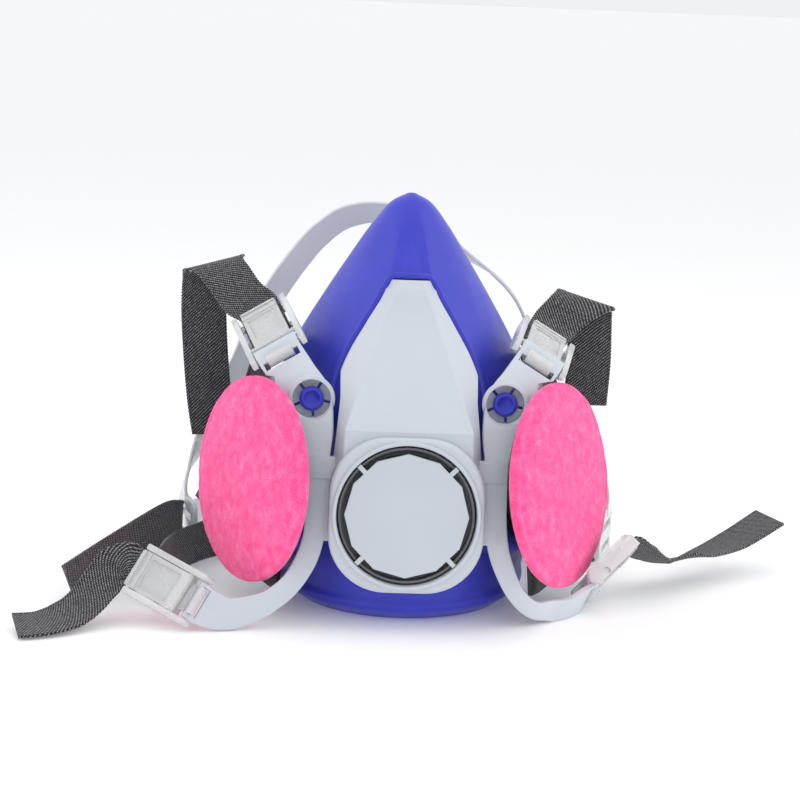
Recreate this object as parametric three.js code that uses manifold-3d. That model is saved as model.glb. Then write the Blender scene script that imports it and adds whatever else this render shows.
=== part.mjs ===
// A half-face respirator standing on its chin, with its head harness spread round it.
// Millimetres, +Z up. The origin is on the floor under the chin, the wearer looks along -Y,
// and +X is to the right of someone facing the mask.
import * as THREE from 'three';
import { mergeVertices } from 'three/addons/utils/BufferGeometryUtils.js';
import Module from 'manifold-3d';

const wasm = await Module();
wasm.setup();

const rad = THREE.MathUtils.degToRad;
const v = (x, y, z) => new THREE.Vector3(x, y, z);

// ---- driving dimensions -------------------------------------------------------------------
const GAP = 0.3;                       // clearance between pieces that touch on the real mask
const LEAN = 7;                        // the mask leans back on its chin, degrees
const VALVE = v(0, -30, 43);           // centre of the exhalation valve's rim above the floor

const WALL = 2.6;                      // silicone wall
const SEAL_WIDTH = 11;                 // face seal turned in from the rim
const SEAL_THICKNESS = 2.4;
// silicone body from chin to nose: height, half width, front, rim, squareness of the section
const FACE = [
  [-46, 40, 20, 52, 2.0],
  [-38, 43.5, 17, 60, 2.0],
  [-22, 49, 14, 74, 2.1],
  [0, 54.5, 13, 83, 2.1],
  [20, 55.5, 13.5, 86, 2.0],
  [40, 51, 18, 85, 1.85],
  [60, 42.5, 24, 80, 1.7],
  [78, 32, 32.5, 75, 1.6],
  [93, 22.5, 42.5, 71, 1.6],
  [105, 14.5, 50.5, 68, 1.7],
  [113.4, 7.5, 56.5, 66, 1.9],
  [116.6, 1.5, 61, 65, 2.0],
];

const HOUSING_HALF = 28;               // rounded square round the exhalation valve
const HOUSING_RADIUS = 21;
const RIM_RADIUS = 26.7;
const BORE_RADIUS = 25.2;              // mouth of the valve housing
const THROAT_RADIUS = 20.5;            // hole through the silicone behind it
const COVER_RADIUS = 22.4;             // across the corners of the twelve-sided cover
const PANEL_BASE = { z: 30, half: 23, front: 4 };
const PANEL_TOP = { z: 80, half: 5.6, front: 31 };
const FLANGE_BASE = 28;                // where the panel's skirt meets the silicone
const FLANGE_TOP = 7.2;

const PORT = v(38, 38.5, 8);           // breathing port, right side
const PORT_RISE = { '-1': 0.04, 1: 0.09 };    // the soft wall lets one filter sit tipped up
const PORT_SHIFT = { '-1': 0, 1: 0.8 };       // and a little further out
const PORT_BORE = 12.5;
const PORT_OUTER = 16;
const FILTER_RADIUS = 38;
const FILTER_BACK = 20.6;              // back of the felt, out along the port's axis
const FILTER_EDGE = 3.4;               // the two felt layers are thin at their welded edge
const FILTER_CROWN = 2.4;              // and fuller in the middle
const MOUNT_RADIUS = 34.5;              // black plate behind the filter
const BACKING_RADIUS = 42;             // fixed half plate round the back of the port

const ARM_THICKNESS = 2.4;
const END_BAR = 1.4;                   // from the buckle's pivot to the slot in the end of an arm
const END_REACH = { upper: 4.2, lower: 1.4 };   // from the pivot to the tip of the arm
const PIVOT_INSET = { upper: 5.8, lower: 0 };  // from an arm's last station back to the pivot
const SLOT_HEIGHT = 3;
const STUD = v(35.5, 21, 39.5);
const BOSS_RADIUS = 8.6;
const RECESS_RADIUS = 7;

const STRAP_WIDTH = 16;
const TAIL_WIDTH = { upper: [16.4, 17.5], lower: [14, 16] };   // inside the buckle and beyond it
const STRAP_THICKNESS = 1.3;
const BUCKLE_INNER = { upper: 9.1, lower: 7.7 };   // half the width between the side walls
const BUCKLE_WALL = 2.2;
const BUCKLE_LENGTH = 24;
const BUCKLE_REACH = { upper: 2.8, lower: 0 };    // longer link from hook to lever
const BUCKLE_TAIL = { upper: 2, lower: 3.8 };      // the walls run on beside the arm
const BUCKLE_HEEL = { upper: { y: 0.8, z: 6.5 }, lower: { y: 2.4, z: -1 } };   // slope behind the tail
const LEVER_HALF = 7.3;
const UPPER_LEAN = { '-1': 30, 1: 46 };       // how far each buckle hangs back from its arm
const LOWER_LEAN = { '-1': 24, 1: 0 };
const LEVER_PIN = v(0, 0.2, 4.6);
const HOOK_HALF = 5.2;
const HOOK_START = 20;                 // the hook runs round the end bar from here, in degrees
const CRADLE_WIDTH = 12;
const CRADLE_THICKNESS = 1.4;

// ---- materials ----------------------------------------------------------------------------
function finish(colour, roughness, metalness = 0, opacity = 1) {
  return { color: colour, roughness, metalness, opacity, transparent: opacity < 1 };
}
const SILICONE = finish(0x2a30b4, 0.45);
const GREY = finish(0xcdd2d7, 0.4);
const DARK_RING = finish(0x3c4046, 0.15);
const FLAP = finish(0xe8e4d8, 0.5);
const BLACK = finish(0x0d0d0e, 0.2);
const GASKET = finish(0x202022, 0.7);
const FELT = finish(0xff5fa0, 0.95);
const CLEAR = finish(0xe6e8e8, 0.2, 0, 0.6);
const WEBBING = finish(0x4a4a4d, 0.9);
const CRADLE = finish(0xe4e5e4, 0.45);

// ---- solid helpers ------------------------------------------------------------------------
function solid(geometry) {
  const bare = new THREE.BufferGeometry();
  bare.setAttribute('position', geometry.getAttribute('position'));
  bare.setIndex(geometry.getIndex());
  const merged = mergeVertices(bare, 1e-4);
  const vertProperties = new Float32Array(merged.getAttribute('position').array);
  const triVerts = new Uint32Array(merged.getIndex().array);
  if (signedVolume(vertProperties, triVerts) < 0) {
    triVerts.reverse();
  }
  return new wasm.Manifold(new wasm.Mesh({ numProp: 3, vertProperties, triVerts }));
}

// Six times the volume that the triangles enclose; negative where they face inwards.
function signedVolume(positions, corners) {
  let total = 0;
  for (let i = 0; i < corners.length; i += 3) {
    const [a, b, c] = [0, 1, 2].map((k) => new THREE.Vector3().fromArray(positions, corners[i + k] * 3));
    total += a.dot(b.cross(c));
  }
  return total;
}

function meshOf(name, body, material) {
  const raw = body.getMesh();
  const geometry = new THREE.BufferGeometry();
  geometry.setAttribute('position', new THREE.BufferAttribute(raw.vertProperties, 3));
  geometry.setIndex(new THREE.BufferAttribute(raw.triVerts, 1));
  geometry.computeVertexNormals();
  const mesh = new THREE.Mesh(geometry, new THREE.MeshStandardMaterial(material));
  mesh.name = name;
  return mesh;
}

function moved(geometry, x, y, z) {
  return solid(geometry.clone().translate(x, y, z));
}

// A box given by its two corners.
function block(low, high) {
  const size = high.clone().sub(low);
  const centre = low.clone().add(high).multiplyScalar(0.5);
  return moved(new THREE.BoxGeometry(size.x, size.y, size.z), centre.x, centre.y, centre.z);
}

// A turned body about the Z axis from [radius, height] pairs on a closed or axis-to-axis profile.
function turned(profile, segments) {
  const points = profile.map(([r, z]) => new THREE.Vector2(r, z));
  return solid(new THREE.LatheGeometry(points, segments).rotateX(Math.PI / 2));
}

// A ring between two radii, from height low to height high.
function ring(inner, outer, low, high, segments = 32) {
  return turned([[inner, low], [outer, low], [outer, high], [inner, high], [inner, low]], segments);
}

function disc(radius, low, high, segments = 32) {
  return turned([[0, low], [radius, low], [radius, high], [0, high]], segments);
}

// A closed body through rings of points that all have the same count.
function loft(rings) {
  const count = rings[0].length;
  const points = rings.flat();
  const first = centreOf(rings[0]);
  const last = centreOf(rings[rings.length - 1]);
  points.push(first, last);
  const faces = [];
  for (let i = 0; i + 1 < rings.length; i++) {
    for (let j = 0; j < count; j++) {
      const a = i * count + j;
      const b = i * count + (j + 1) % count;
      faces.push(a, b, b + count, a, b + count, a + count);
    }
  }
  const lastRing = (rings.length - 1) * count;
  for (let j = 0; j < count; j++) {
    const next = (j + 1) % count;
    faces.push(points.length - 2, next, j);
    faces.push(points.length - 1, lastRing + j, lastRing + next);
  }
  const geometry = new THREE.BufferGeometry().setFromPoints(points);
  geometry.setIndex(faces);
  return solid(geometry);
}

function centreOf(points) {
  const sum = v(0, 0, 0);
  points.forEach((p) => sum.add(p));
  return sum.multiplyScalar(1 / points.length);
}

// A flat strip that follows stations { at, across, width }; `across` points along its width.
function strip(stations, thickness, perSpan, edge = 0) {
  const curve = new THREE.CatmullRomCurve3(stations.map((s) => s.at), false, 'catmullrom', 0.5);
  const spans = stations.length - 1;
  const steps = spans * perSpan;
  const rings = [];
  for (let i = 0; i <= steps; i++) {
    const t = i / steps;
    const k = Math.min(Math.floor(t * spans), spans - 1);
    const blend = t * spans - k;
    const from = stations[k];
    const to = stations[k + 1];
    const along = curve.getTangent(t);
    const across = from.across.clone().lerp(to.across, blend);
    across.addScaledVector(along, -across.dot(along)).normalize();
    const normal = across.clone().cross(along).normalize();
    const half = THREE.MathUtils.lerp(from.width, to.width, blend) / 2;
    rings.push(section(curve.getPoint(t), across, normal, half, thickness / 2, edge));
  }
  return loft(rings);
}

// A rectangle, with its corners cut back by `edge` when that isn't zero.
function section(centre, across, normal, half, deep, edge) {
  const corners = edge === 0
    ? [[-half, -deep], [half, -deep], [half, deep], [-half, deep]]
    : [
      [-half + edge, -deep], [half - edge, -deep], [half, -deep + edge], [half, deep - edge],
      [half - edge, deep], [-half + edge, deep], [-half, deep - edge], [-half, -deep + edge],
    ];
  return corners.map(([a, b]) => centre.clone().addScaledVector(across, a).addScaledVector(normal, b));
}

// ---- silicone facepiece -------------------------------------------------------------------
const faceWidth = new THREE.CatmullRomCurve3(FACE.map(([z, half, front]) => v(half, front, z)));
const faceDepth = new THREE.CatmullRomCurve3(FACE.map(([z, , , rim, n]) => v(rim, n, z)));

function faceAt(t) {
  const a = faceWidth.getPoint(t);
  const b = faceDepth.getPoint(t);
  return { z: a.z, half: a.x, front: a.y, rim: b.x, power: 2 / b.y };
}

// Solid of the mask's outer skin grown by `grow`, between two places along its height. It reaches
// back to the rim plus `behind`.
function faceSolid(grow, start, end, rows, behind) {
  const columns = 22;
  const rings = [];
  for (let i = 0; i <= rows; i++) {
    const s = faceAt(start + (end - start) * i / rows);
    const half = Math.max(s.half + grow, 0.6);
    const depth = Math.max(s.rim - s.front + grow, 1);
    const points = [];
    for (let j = 0; j <= columns; j++) {
      const a = Math.PI * (j / columns - 0.5);
      const x = half * Math.sign(Math.sin(a)) * Math.abs(Math.sin(a)) ** s.power;
      const y = s.rim - depth * Math.abs(Math.cos(a)) ** s.power;
      points.push(v(x, y, s.z));
    }
    points.push(v(half, s.rim + behind, s.z), v(-half, s.rim + behind, s.z));
    rings.push(points);
  }
  return loft(rings);
}

// Turns a body made about +Z to stand on the breathing port of one side, with +X to the back.
function onPort(body, side) {
  const axis = v(side * 0.839, -0.545, PORT_RISE[side]).normalize();
  const up = v(0, 0, side);
  const back = up.cross(axis).normalize();
  const matrix = new THREE.Matrix4().makeBasis(back, axis.clone().cross(back), axis);
  return body.transform(matrix.setPosition(side * PORT.x + PORT_SHIFT[side], PORT.y, PORT.z).toArray());
}

// Turns a body made about +Z to face forward, along -Y, in front of the given point.
function facing(body, x, y, z) {
  const matrix = new THREE.Matrix4().makeRotationX(Math.PI / 2).setPosition(x, y, z);
  return body.transform(matrix.toArray());
}

function belowFloor() {
  const floor = new THREE.BoxGeometry(400, 400, 100).translate(0, 0, -50);
  floor.translate(-VALVE.x, -VALVE.y, -VALVE.z).rotateX(rad(LEAN));
  return solid(floor);
}

// The outer skin with its port bosses and stud posts, all grown by `grow`.
function skin(grow, behind) {
  const boss = turned([[0, -9], [30 + grow, -9], [24 + grow, 6 + grow], [0, 6 + grow]], 32);
  const post = turned([[0, -24], [9 + grow, -24], [5.2 + grow, -6.4 + grow], [0, -6.4 + grow]], 14);
  let body = faceSolid(grow, 0, 1, 24, behind);
  [-1, 1].forEach((side) => {
    body = body.add(onPort(boss, side)).add(facing(post, side * STUD.x, STUD.y, STUD.z));
  });
  return body;
}

function facepiece() {
  const cavity = faceSolid(-WALL, 0.115, 0.93, 16, -SEAL_THICKNESS);
  const opening = faceSolid(-SEAL_WIDTH, 0.16, 0.74, 10, 20);
  const behindWall = block(v(-70, 60, -60), v(70, 130, 130));
  let body = skin(0, 0.6).subtract(cavity).subtract(opening.intersect(behindWall));
  body = body.subtract(facing(disc(THROAT_RADIUS, -40, -5), 0, 0, 0));
  [-1, 1].forEach((side) => {
    body = body.subtract(onPort(disc(PORT_OUTER + GAP, -20, 12), side));
  });
  return body.subtract(belowFloor());
}

// ---- front shell and exhalation valve -----------------------------------------------------
function roundedSquare(half, radius, low, high) {
  const shape = new THREE.Shape();
  const flat = half - radius;
  shape.absarc(flat, flat, radius, 0, Math.PI / 2);
  shape.absarc(-flat, flat, radius, Math.PI / 2, Math.PI);
  shape.absarc(-flat, -flat, radius, Math.PI, Math.PI * 1.5);
  shape.absarc(flat, -flat, radius, Math.PI * 1.5, Math.PI * 2);
  const options = { depth: high - low, bevelEnabled: false, curveSegments: 10 };
  return solid(new THREE.ExtrudeGeometry(shape, options).translate(0, 0, low));
}

// The framed panel over the nose bridge: a flat trapezoid face with a skirt that spreads to the
// silicone behind it. `shrink` makes the hollow inside it.
function panel(shrink) {
  const rows = [
    { z: 0, face: 24, skirt: FLANGE_BASE, front: 6, back: 20 },
    { z: PANEL_BASE.z, face: PANEL_BASE.half, skirt: FLANGE_BASE, front: PANEL_BASE.front, back: 22 },
    { z: 45, face: 17.8, skirt: 26.6, front: 12.7, back: 25 },
    { z: 56, face: 14, skirt: 22.6, front: 19.1, back: 29 },
    { z: 68, face: 9.8, skirt: 16, front: 26, back: 34 },
    { z: PANEL_TOP.z, face: PANEL_TOP.half, skirt: 9.4, front: PANEL_TOP.front, back: 40 },
    { z: 83.6, face: 4.4, skirt: FLANGE_TOP, front: 33.2, back: 42 },
  ];
  const rings = rows.map(({ z, face, skirt, front, back }, i) => {
    const f = Math.max(face - shrink, 0.8);
    const s = Math.max(skirt - shrink, 1.2);
    const y = front + shrink;
    const level = z - (i === rows.length - 1 ? shrink : 0);
    return [v(-f, y, level), v(f, y, level), v(s, back - 3 + shrink, level), v(s, back + 14, level),
      v(-s, back + 14, level), v(-s, back - 3 + shrink, level)];
  });
  return loft(rings);
}

function frontShell() {
  const rim = facing(ring(BORE_RADIUS, RIM_RADIUS, -4, 0, 48), 0, 0, 0);
  const housing = facing(roundedSquare(HOUSING_HALF, HOUSING_RADIUS, -30, -1.2), 0, 0, 0);
  const upper = block(v(-60, -10, 6), v(60, 90, 100));
  const bore = turned([[0, 1], [BORE_RADIUS + 1.2, 1], [BORE_RADIUS, -1.6], [BORE_RADIUS, -60], [0, -60]], 48);
  let body = housing.add(rim).add(panel(0).intersect(upper));
  body = body.subtract(facing(bore, 0, 0, 0));
  body = body.subtract(panel(2).intersect(block(v(-60, -10, 28.5), v(60, 90, 72))));
  return body.subtract(skin(GAP, 40));
}

function valveSeat() {
  let body = ring(17.5, BORE_RADIUS - GAP, -12.2, -10.2, 48);
  for (let i = 0; i < 3; i++) {
    const spoke = new THREE.BoxGeometry(38, 2, 1.6).rotateZ(i * Math.PI / 3).translate(0, 0, -11.2);
    body = body.add(solid(spoke));
  }
  return body.add(disc(3, -12.2, -10.2, 24));
}

function valveRing() {
  const profile = [[20.8, -8.6], [BORE_RADIUS - GAP, -8.6], [BORE_RADIUS - GAP, -2.6], [24.2, -2.6],
    [23.2, -4.6], [22.4, -4.6], [20.8, -6.8], [20.8, -8.6]];
  return turned(profile, 40);
}

function valveCover() {
  let body = disc(COVER_RADIUS, -2.6, -1, 12);
  for (let i = 0; i < 4; i++) {
    const leg = new THREE.BoxGeometry(4.2, 1.5, 1.3).translate(22.6, 0, -1.65);
    const foot = new THREE.BoxGeometry(0.9, 1.5, 2.2).translate(22.5, 0, -3.2);
    const turn = Math.PI / 4 + i * Math.PI / 2;
    body = body.add(solid(leg.rotateZ(turn))).add(solid(foot.rotateZ(turn)));
  }
  return body;
}

// ---- breathing port and filter, made about +Z which points out of the mask ------------------
function portHub() {
  let body = ring(PORT_BORE, PORT_OUTER, -9.5, 6.4, 28).add(ring(PORT_BORE, 20, 6.4, 8.4, 28));
  body = body.add(ring(PORT_BORE, 18, -11, -9.2, 28));
  body = body.subtract(ring(PORT_BORE - 2, 14.3, 2.2, 6.2, 28));
  for (let i = 0; i < 3; i++) {
    body = body.subtract(sector(14.3, 50, 6, 9, 60 + i * 120));
  }
  for (let i = 0; i < 2; i++) {
    const spoke = new THREE.BoxGeometry(27, 1.8, 1.6).rotateZ(i * Math.PI / 2).translate(0, 0, -8);
    body = body.add(solid(spoke));
  }
  return body;
}

// The hub with the half plate that stands round the back of the port, clear of the silicone.
function portBody(side) {
  const half = disc(BACKING_RADIUS, 6.4, 8.2, 40).subtract(block(v(-60, -60, 0), v(1, 60, 20)));
  const backing = onPort(half.subtract(disc(15, 0, 20)), side).subtract(skin(GAP, 10));
  return onPort(portHub(), side).add(backing);
}

// A wedge of a disc, `width` degrees wide and centred on `middle` degrees.
function sector(radius, width, low, high, middle) {
  const shape = new THREE.Shape();
  shape.absarc(0, 0, radius, rad(middle - width / 2), rad(middle + width / 2));
  shape.lineTo(0, 0);
  const options = { depth: high - low, bevelEnabled: false, curveSegments: 3 };
  return solid(new THREE.ExtrudeGeometry(shape, options).translate(0, 0, low));
}

function filterMount() {
  let body = ring(9.6, PORT_BORE - GAP, 2.6, FILTER_BACK - 3, 28);
  for (let i = 0; i < 3; i++) {
    const lug = sector(13.9, 36, 2.8, 5.6, i * 120).subtract(disc(11, 0, 10));
    body = body.add(lug);
  }
  const back = FILTER_BACK - GAP;
  const plate = [[9.6, 10.6], [18.5, 10.6], [20, back - 1.8], [MOUNT_RADIUS, back - 1.4], [MOUNT_RADIUS, back],
    [9.6, back], [9.6, 10.6]];
  return body.add(turned(plate, 36));
}

function filterPad() {
  const front = FILTER_BACK + FILTER_EDGE;
  const profile = [[0, FILTER_BACK], [FILTER_RADIUS - 1, FILTER_BACK], [FILTER_RADIUS, FILTER_BACK + 1]];
  profile.push([FILTER_RADIUS, front - 1], [FILTER_RADIUS - 1, front]);
  for (let i = 1; i <= 3; i++) {
    const a = i / 3 * Math.PI / 2;
    profile.push([(FILTER_RADIUS - 3) * Math.cos(a), front + FILTER_CROWN * Math.sin(a)]);
  }
  return turned(profile, 40);
}

// ---- harness arms ---------------------------------------------------------------------------
const FRONT = v(0, -1, 0);

// Stations of an arm on the right, in the mask's own frame: place, width and, towards the ends of
// the lower arms, the twist about the arm's own length in degrees.
const ARM_TOP = [
  [50.9, 30.9, 60.2, 17.2], [47.7, 28.75, 54.85, 17], [41.5, 24.7, 46.6, 16.6], [36.3, 21.8, 39.8, 16.4],
  [33.4, 18.5, 30, 12.6], [32.7, 15.4, 21, 9.6], [32.8, 13.4, 12, 7.8], [32.9, 12.4, 0, 7.6],
];
const ARM_BOTTOM = {
  '-1': [
    [33.1, 11.6, -9, 7.8], [35.6, 10.6, -18, 8.1], [40.9, 8.4, -26.8, 7.6], [47.8, 6.2, -32.6, 8],
    [55.2, 4.4, -35.8, 9.8, 2], [62.6, 3, -37.3, 11.6, 6], [69.5, 2, -35.7, 13.6, 11],
    [75.8, 1.2, -31.9, 14.4, 16],
  ],
  1: [
    [33.7, 12, -10.5, 7.8], [36.4, 12.4, -19.5, 7.4], [41.2, 12.4, -29, 6.4], [47.8, 15.6, -34.9, 6.6],
    [54.4, 21, -35.9, 8.2, 10], [61, 25.4, -36.4, 10.4, 32], [66.8, 30.2, -34, 13.4, 54],
    [71.8, 34.6, -30, 14.4, 72],
  ],
};

function armStations(side) {
  const rows = ARM_TOP.concat(ARM_BOTTOM[side]);
  const points = rows.map(([x, y, z]) => v(side * x, y, z));
  const curve = new THREE.CatmullRomCurve3(points, false, 'catmullrom', 0.5);
  return rows.map(([, , , width, twist = 0], i) => {
    const along = curve.getTangent(i / (rows.length - 1));
    const across = along.clone().cross(FRONT).normalize().applyAxisAngle(along, rad(twist));
    return { at: points[i], along, across, width };
  });
}

// Frame of a buckle's pivot in the end of an arm: X across the arm, Z out of it, Y to the back.
function endFrame(side, top) {
  const stations = armStations(side);
  const end = top ? stations[0] : stations[stations.length - 1];
  const out = end.along.clone().multiplyScalar(top ? -1 : 1);
  const across = end.across.clone();
  const back = out.clone().cross(across);
  if (back.y < 0) {
    across.negate();
    back.negate();
  }
  const inset = PIVOT_INSET[top ? 'upper' : 'lower'];
  const pivot = end.at.clone().addScaledVector(out, -inset);
  return new THREE.Matrix4().makeBasis(across, back, out).setPosition(pivot);
}

function harnessArm(side) {
  let body = strip(armStations(side), ARM_THICKNESS, 2, 0.5);
  const boss = turned([[0, -6], [RECESS_RADIUS + 0.6, -6], [BOSS_RADIUS, -1.2], [BOSS_RADIUS, 0.6], [0, 0.6]], 22);
  const recess = disc(RECESS_RADIUS, -4.6, 4, 22);
  const hole = disc(3.1, -12, 4, 12);
  const place = (item) => facing(item, side * STUD.x, STUD.y, STUD.z);
  body = body.add(place(boss)).subtract(place(recess)).subtract(place(hole));
  for (let i = 0; i < 5; i++) {
    const slit = new THREE.BoxGeometry(3.6, 0.9, 4).translate(4.6, 0, -5).rotateZ(rad(60 + i * 72));
    body = body.subtract(place(solid(slit)));
  }
  [[true, 7.1, END_REACH.upper], [false, 5.7, END_REACH.lower]].forEach(([top, half, reach]) => {
    const cut = block(v(-half, -4, -END_BAR - SLOT_HEIGHT), v(half, 4, -END_BAR));
    body = body.subtract(cut.transform(endFrame(side, top).toArray()));
    const trim = block(v(-12, -4, reach), v(12, 4, 12));
    body = body.subtract(trim.transform(endFrame(side, top).toArray()));
  });
  const bridge = block(v(side * 30.5 - 2.2, 11.8, 11), v(side * 30.5 + 2.2, 13.4, 19));
  const filterRoom = disc(FILTER_RADIUS + 0.5, FILTER_BACK - 2.4, 40);
  body = body.add(bridge).subtract(frontGuard()).subtract(onPort(filterRoom, side));
  return body.subtract(belowFloor());
}

// Space kept clear between the arms and the front shell and facepiece.
function frontGuard() {
  const housing = facing(roundedSquare(HOUSING_HALF + GAP, HOUSING_RADIUS, -60, 10), 0, 0, 0);
  return housing.add(skin(GAP, 10)).add(panel(-GAP));
}

function mountingStud() {
  const profile = [[0, -6.2], [2.7, -6.2], [2.7, -3.2], [4.5, -2.6], [4.5, -0.8], [3.9, -0.1], [3.2, 0.1],
    [2.4, -0.6], [0, -0.9]];
  return turned(profile, 16);
}

// ---- buckles, in the frame of an arm's end --------------------------------------------------
function sideWall(x, level) {
  const shape = new THREE.Shape();
  const length = BUCKLE_LENGTH + BUCKLE_REACH[level];
  const tail = BUCKLE_TAIL[level];
  shape.moveTo(-1.4, length);
  shape.lineTo(-1.4, 2 - tail);
  shape.absarc(0.6, 2 - tail, 2, Math.PI, Math.PI * 1.5);
  shape.lineTo(BUCKLE_HEEL[level].y, -tail);
  shape.lineTo(5.4, BUCKLE_HEEL[level].z);
  shape.lineTo(5.4, length - 3);
  shape.lineTo(3.4, length);
  return moved(alongX(shape, BUCKLE_WALL, 3), x, 0, 0);
}

// Extrudes an outline drawn in Y and Z along X.
function alongX(shape, depth, curveSegments) {
  const body = new THREE.ExtrudeGeometry(shape, { depth, bevelEnabled: false, curveSegments });
  return body.applyMatrix4(new THREE.Matrix4().makeBasis(v(0, 1, 0), v(0, 0, 1), v(1, 0, 0)));
}

function hook() {
  const shape = new THREE.Shape();
  shape.absarc(0, 0, 3.5, rad(HOOK_START), rad(-155), true);
  shape.absarc(0, 0, 2.15, rad(-155), rad(HOOK_START), false);
  return moved(alongX(shape, 2 * HOOK_HALF, 8), -HOOK_HALF, 0, 0);
}

function buckleFrame(level) {
  const inner = BUCKLE_INNER[level];
  const outer = inner + 0.4;
  const reach = BUCKLE_REACH[level];
  let body = sideWall(inner, level).add(sideWall(-inner - BUCKLE_WALL, level));
  body = body.add(block(v(-outer, 3.6, 2.6 + reach), v(outer, 5.2, 6.2 + reach)));
  body = body.add(block(v(-outer, 3.2, 10.4 + reach), v(outer, 4.8, 13 + reach)));
  body = body.add(block(v(-outer, 3.6, 20.6 + reach), v(outer, 5.2, 23.6 + reach)));
  body = body.add(hook()).add(block(v(-HOOK_HALF, 2.1, 0.9), v(HOOK_HALF, 3.4, 3.4 + reach)));
  body = body.add(block(v(-HOOK_HALF, 2.1, 2.2 + reach), v(HOOK_HALF, 5.2, 3.4 + reach)));
  const pin = new THREE.CylinderGeometry(1.25, 1.25, 40, 10).rotateZ(Math.PI / 2);
  return body.subtract(moved(pin, 0, LEVER_PIN.y, LEVER_PIN.z + reach));
}

function buckleLever(level) {
  const pinLength = 2 * (BUCKLE_INNER[level] + 1.7);
  const pin = new THREE.CylinderGeometry(1.05, 1.05, pinLength, 10).rotateZ(Math.PI / 2);
  const barrel = new THREE.CylinderGeometry(1.2, 1.2, 2 * LEVER_HALF, 10).rotateZ(Math.PI / 2);
  let body = moved(pin, 0, LEVER_PIN.y, LEVER_PIN.z).add(moved(barrel, 0, LEVER_PIN.y, LEVER_PIN.z));
  body = body.add(block(v(-LEVER_HALF, -1, 4.6), v(LEVER_HALF, 0.6, 24.5)));
  body = body.add(block(v(-LEVER_HALF, -1.7, 20.6), v(LEVER_HALF, -0.9, 21.5)));
  body = body.add(block(v(-LEVER_HALF, -1.7, 23.2), v(LEVER_HALF, -0.9, 24.1)));
  body = body.subtract(block(v(-5.6, -2, 7.6), v(5.6, -0.4, 19.4)));
  return body.translate([0, 0, BUCKLE_REACH[level]]);
}

// ---- webbing and head cradle ------------------------------------------------------------------
// Points where a strap's tail and its loaded leg meet a buckle, in the buckle's own frame.
const TAIL_IN_BUCKLE = [v(0, 2.1, 8), v(0, 2.1, 16), v(0, 1.9, 25)];

// Routes of the webbing above the floor, from the buckle to the free end: place, then the
// direction of the strap's width.
const TAILS = {
  upper_left: [
    [-63.4, 34, 110.6, 0.84, 0.02, 0.54], [-69.5, 39, 117.7, 0.9, 0, 0.44], [-74.5, 44, 121.8, 0.96, 0, 0.29],
    [-77.8, 48, 117.5, 0.98, 0, 0.2], [-79, 49.5, 106.9, 1, 0.05, 0.08], [-78.4, 50, 90.5, 1, 0.1, 0.02],
    [-76.4, 50, 68.6, 1, 0.1, 0.01], [-73.9, 49.5, 53, 1, 0.1, 0],
  ],
  upper_right: [
    [57.6, 38.6, 104, 0.87, -0.04, -0.5], [64, 42.6, 109.4, 0.91, 0, -0.42], [69.8, 46.6, 112, 0.96, 0, -0.3],
    [71.3, 50.4, 108.4, 0.97, 0, -0.22], [72, 51, 99, 1, 0.04, -0.08], [72.4, 51, 84.9, 1, 0.05, -0.02],
    [71.6, 50, 69.4, 1, 0.05, 0],
  ],
  lower_left: [
    [-100.4, -21.5, 20.4, 0.47, 0.37, 0.8], [-104.4, -21.6, 18.8, 0.42, 0.42, 0.8], [-108.8, -24.6, 14, 0.25, 0.62, 0.74],
    [-113.2, -29.2, 8.8, -0.05, 0.8, 0.6], [-117.8, -33.4, 5.4, -0.28, 0.86, 0.42], [-123, -37.6, 3.8, -0.36, 0.88, 0.3], [-129.4, -41, 2.9, -0.24, 0.94, 0.23], [-136.8, -43.4, 2.9, -0.1, 0.97, 0.24],
  ],
  lower_right: [
    [91.8, 22.6, 18.2, -0.36, 0.76, -0.5], [100.7, 32, 12.2, -0.45, 0.84, -0.24], [112.6, 40.6, 10.6, -0.46, 0.76, -0.46],
    [121.8, 47.4, 10.6, -0.52, 0.84, -0.16], [136, 58, 13.5, -0.6, 0.79, 0.07], [153.3, 70, 20.6, -0.78, 0.6, 0.04],
  ],
};

// From behind a buckle to the cradle's slotted plate, or between the two lower buckles.
const LEGS = {
  upper_left: [
    [-51.4, 26.8, 97.4, 0.86, 0.06, 0.5], [-51.4, 43, 94, 0.75, 0.5, 0.3], [-56, 64, 80, 0.6, 0.75, 0.1],
    [-65, 73, 58, 0.4, 0.9, 0.1], [-74.4, 74, 36, 0, 1, 0.1], [-80.4, 72, 20, -0.3, 0.95, 0],
  ],
  upper_right: [
    [48.6, 28, 91.6, 0.86, -0.06, -0.5], [51.4, 46, 86, 0.75, -0.5, -0.3], [57, 63, 74, 0.6, -0.75, -0.1],
    [65, 72, 58, 0.4, -0.9, -0.1], [74.4, 74, 36, 0, -1, -0.1], [80.2, 72, 20.4, -0.3, -0.95, 0],
  ],
  neck: [
    [-91.6, -8, 12, 0.1, 0.2, 0.95], [-92, 12, 9, 0.1, 0.1, 0.98], [-88, 36, 8, 0, 0.3, 0.95],
    [-72, 62, 8, 0.3, 0.4, 0.85], [-40, 78, 7.8, 0.1, 0.4, 0.9], [0, 84, 7.8, 0, 0.4, 0.9],
    [40, 80, 8, -0.1, 0.4, 0.9], [62, 68, 10, -0.3, 0.2, 0.9], [70, 50, 13, -0.3, -0.1, 0.9],
    [73.6, 36, 17, -0.2, -0.4, 0.85],
  ],
  loose: [
    [-88.2, 73.3, 11.4, 0, 0, 1], [-88.6, 65, 13.6, -0.06, 0, 1], [-92, 54, 15.6, -0.22, 0, 0.97], [-100.6, 36, 13.6, -0.42, 0, 0.9],
    [-112.4, 12, 10.5, -0.42, -0.08, 0.9], [-122.3, -9.9, 7.9, -0.43, -0.15, 0.89],
  ],
};

// What lies on the floor is level with it underneath.
function onFloor(body) {
  return body.subtract(block(v(-200, -200, -50), v(200, 200, 0)));
}

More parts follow.
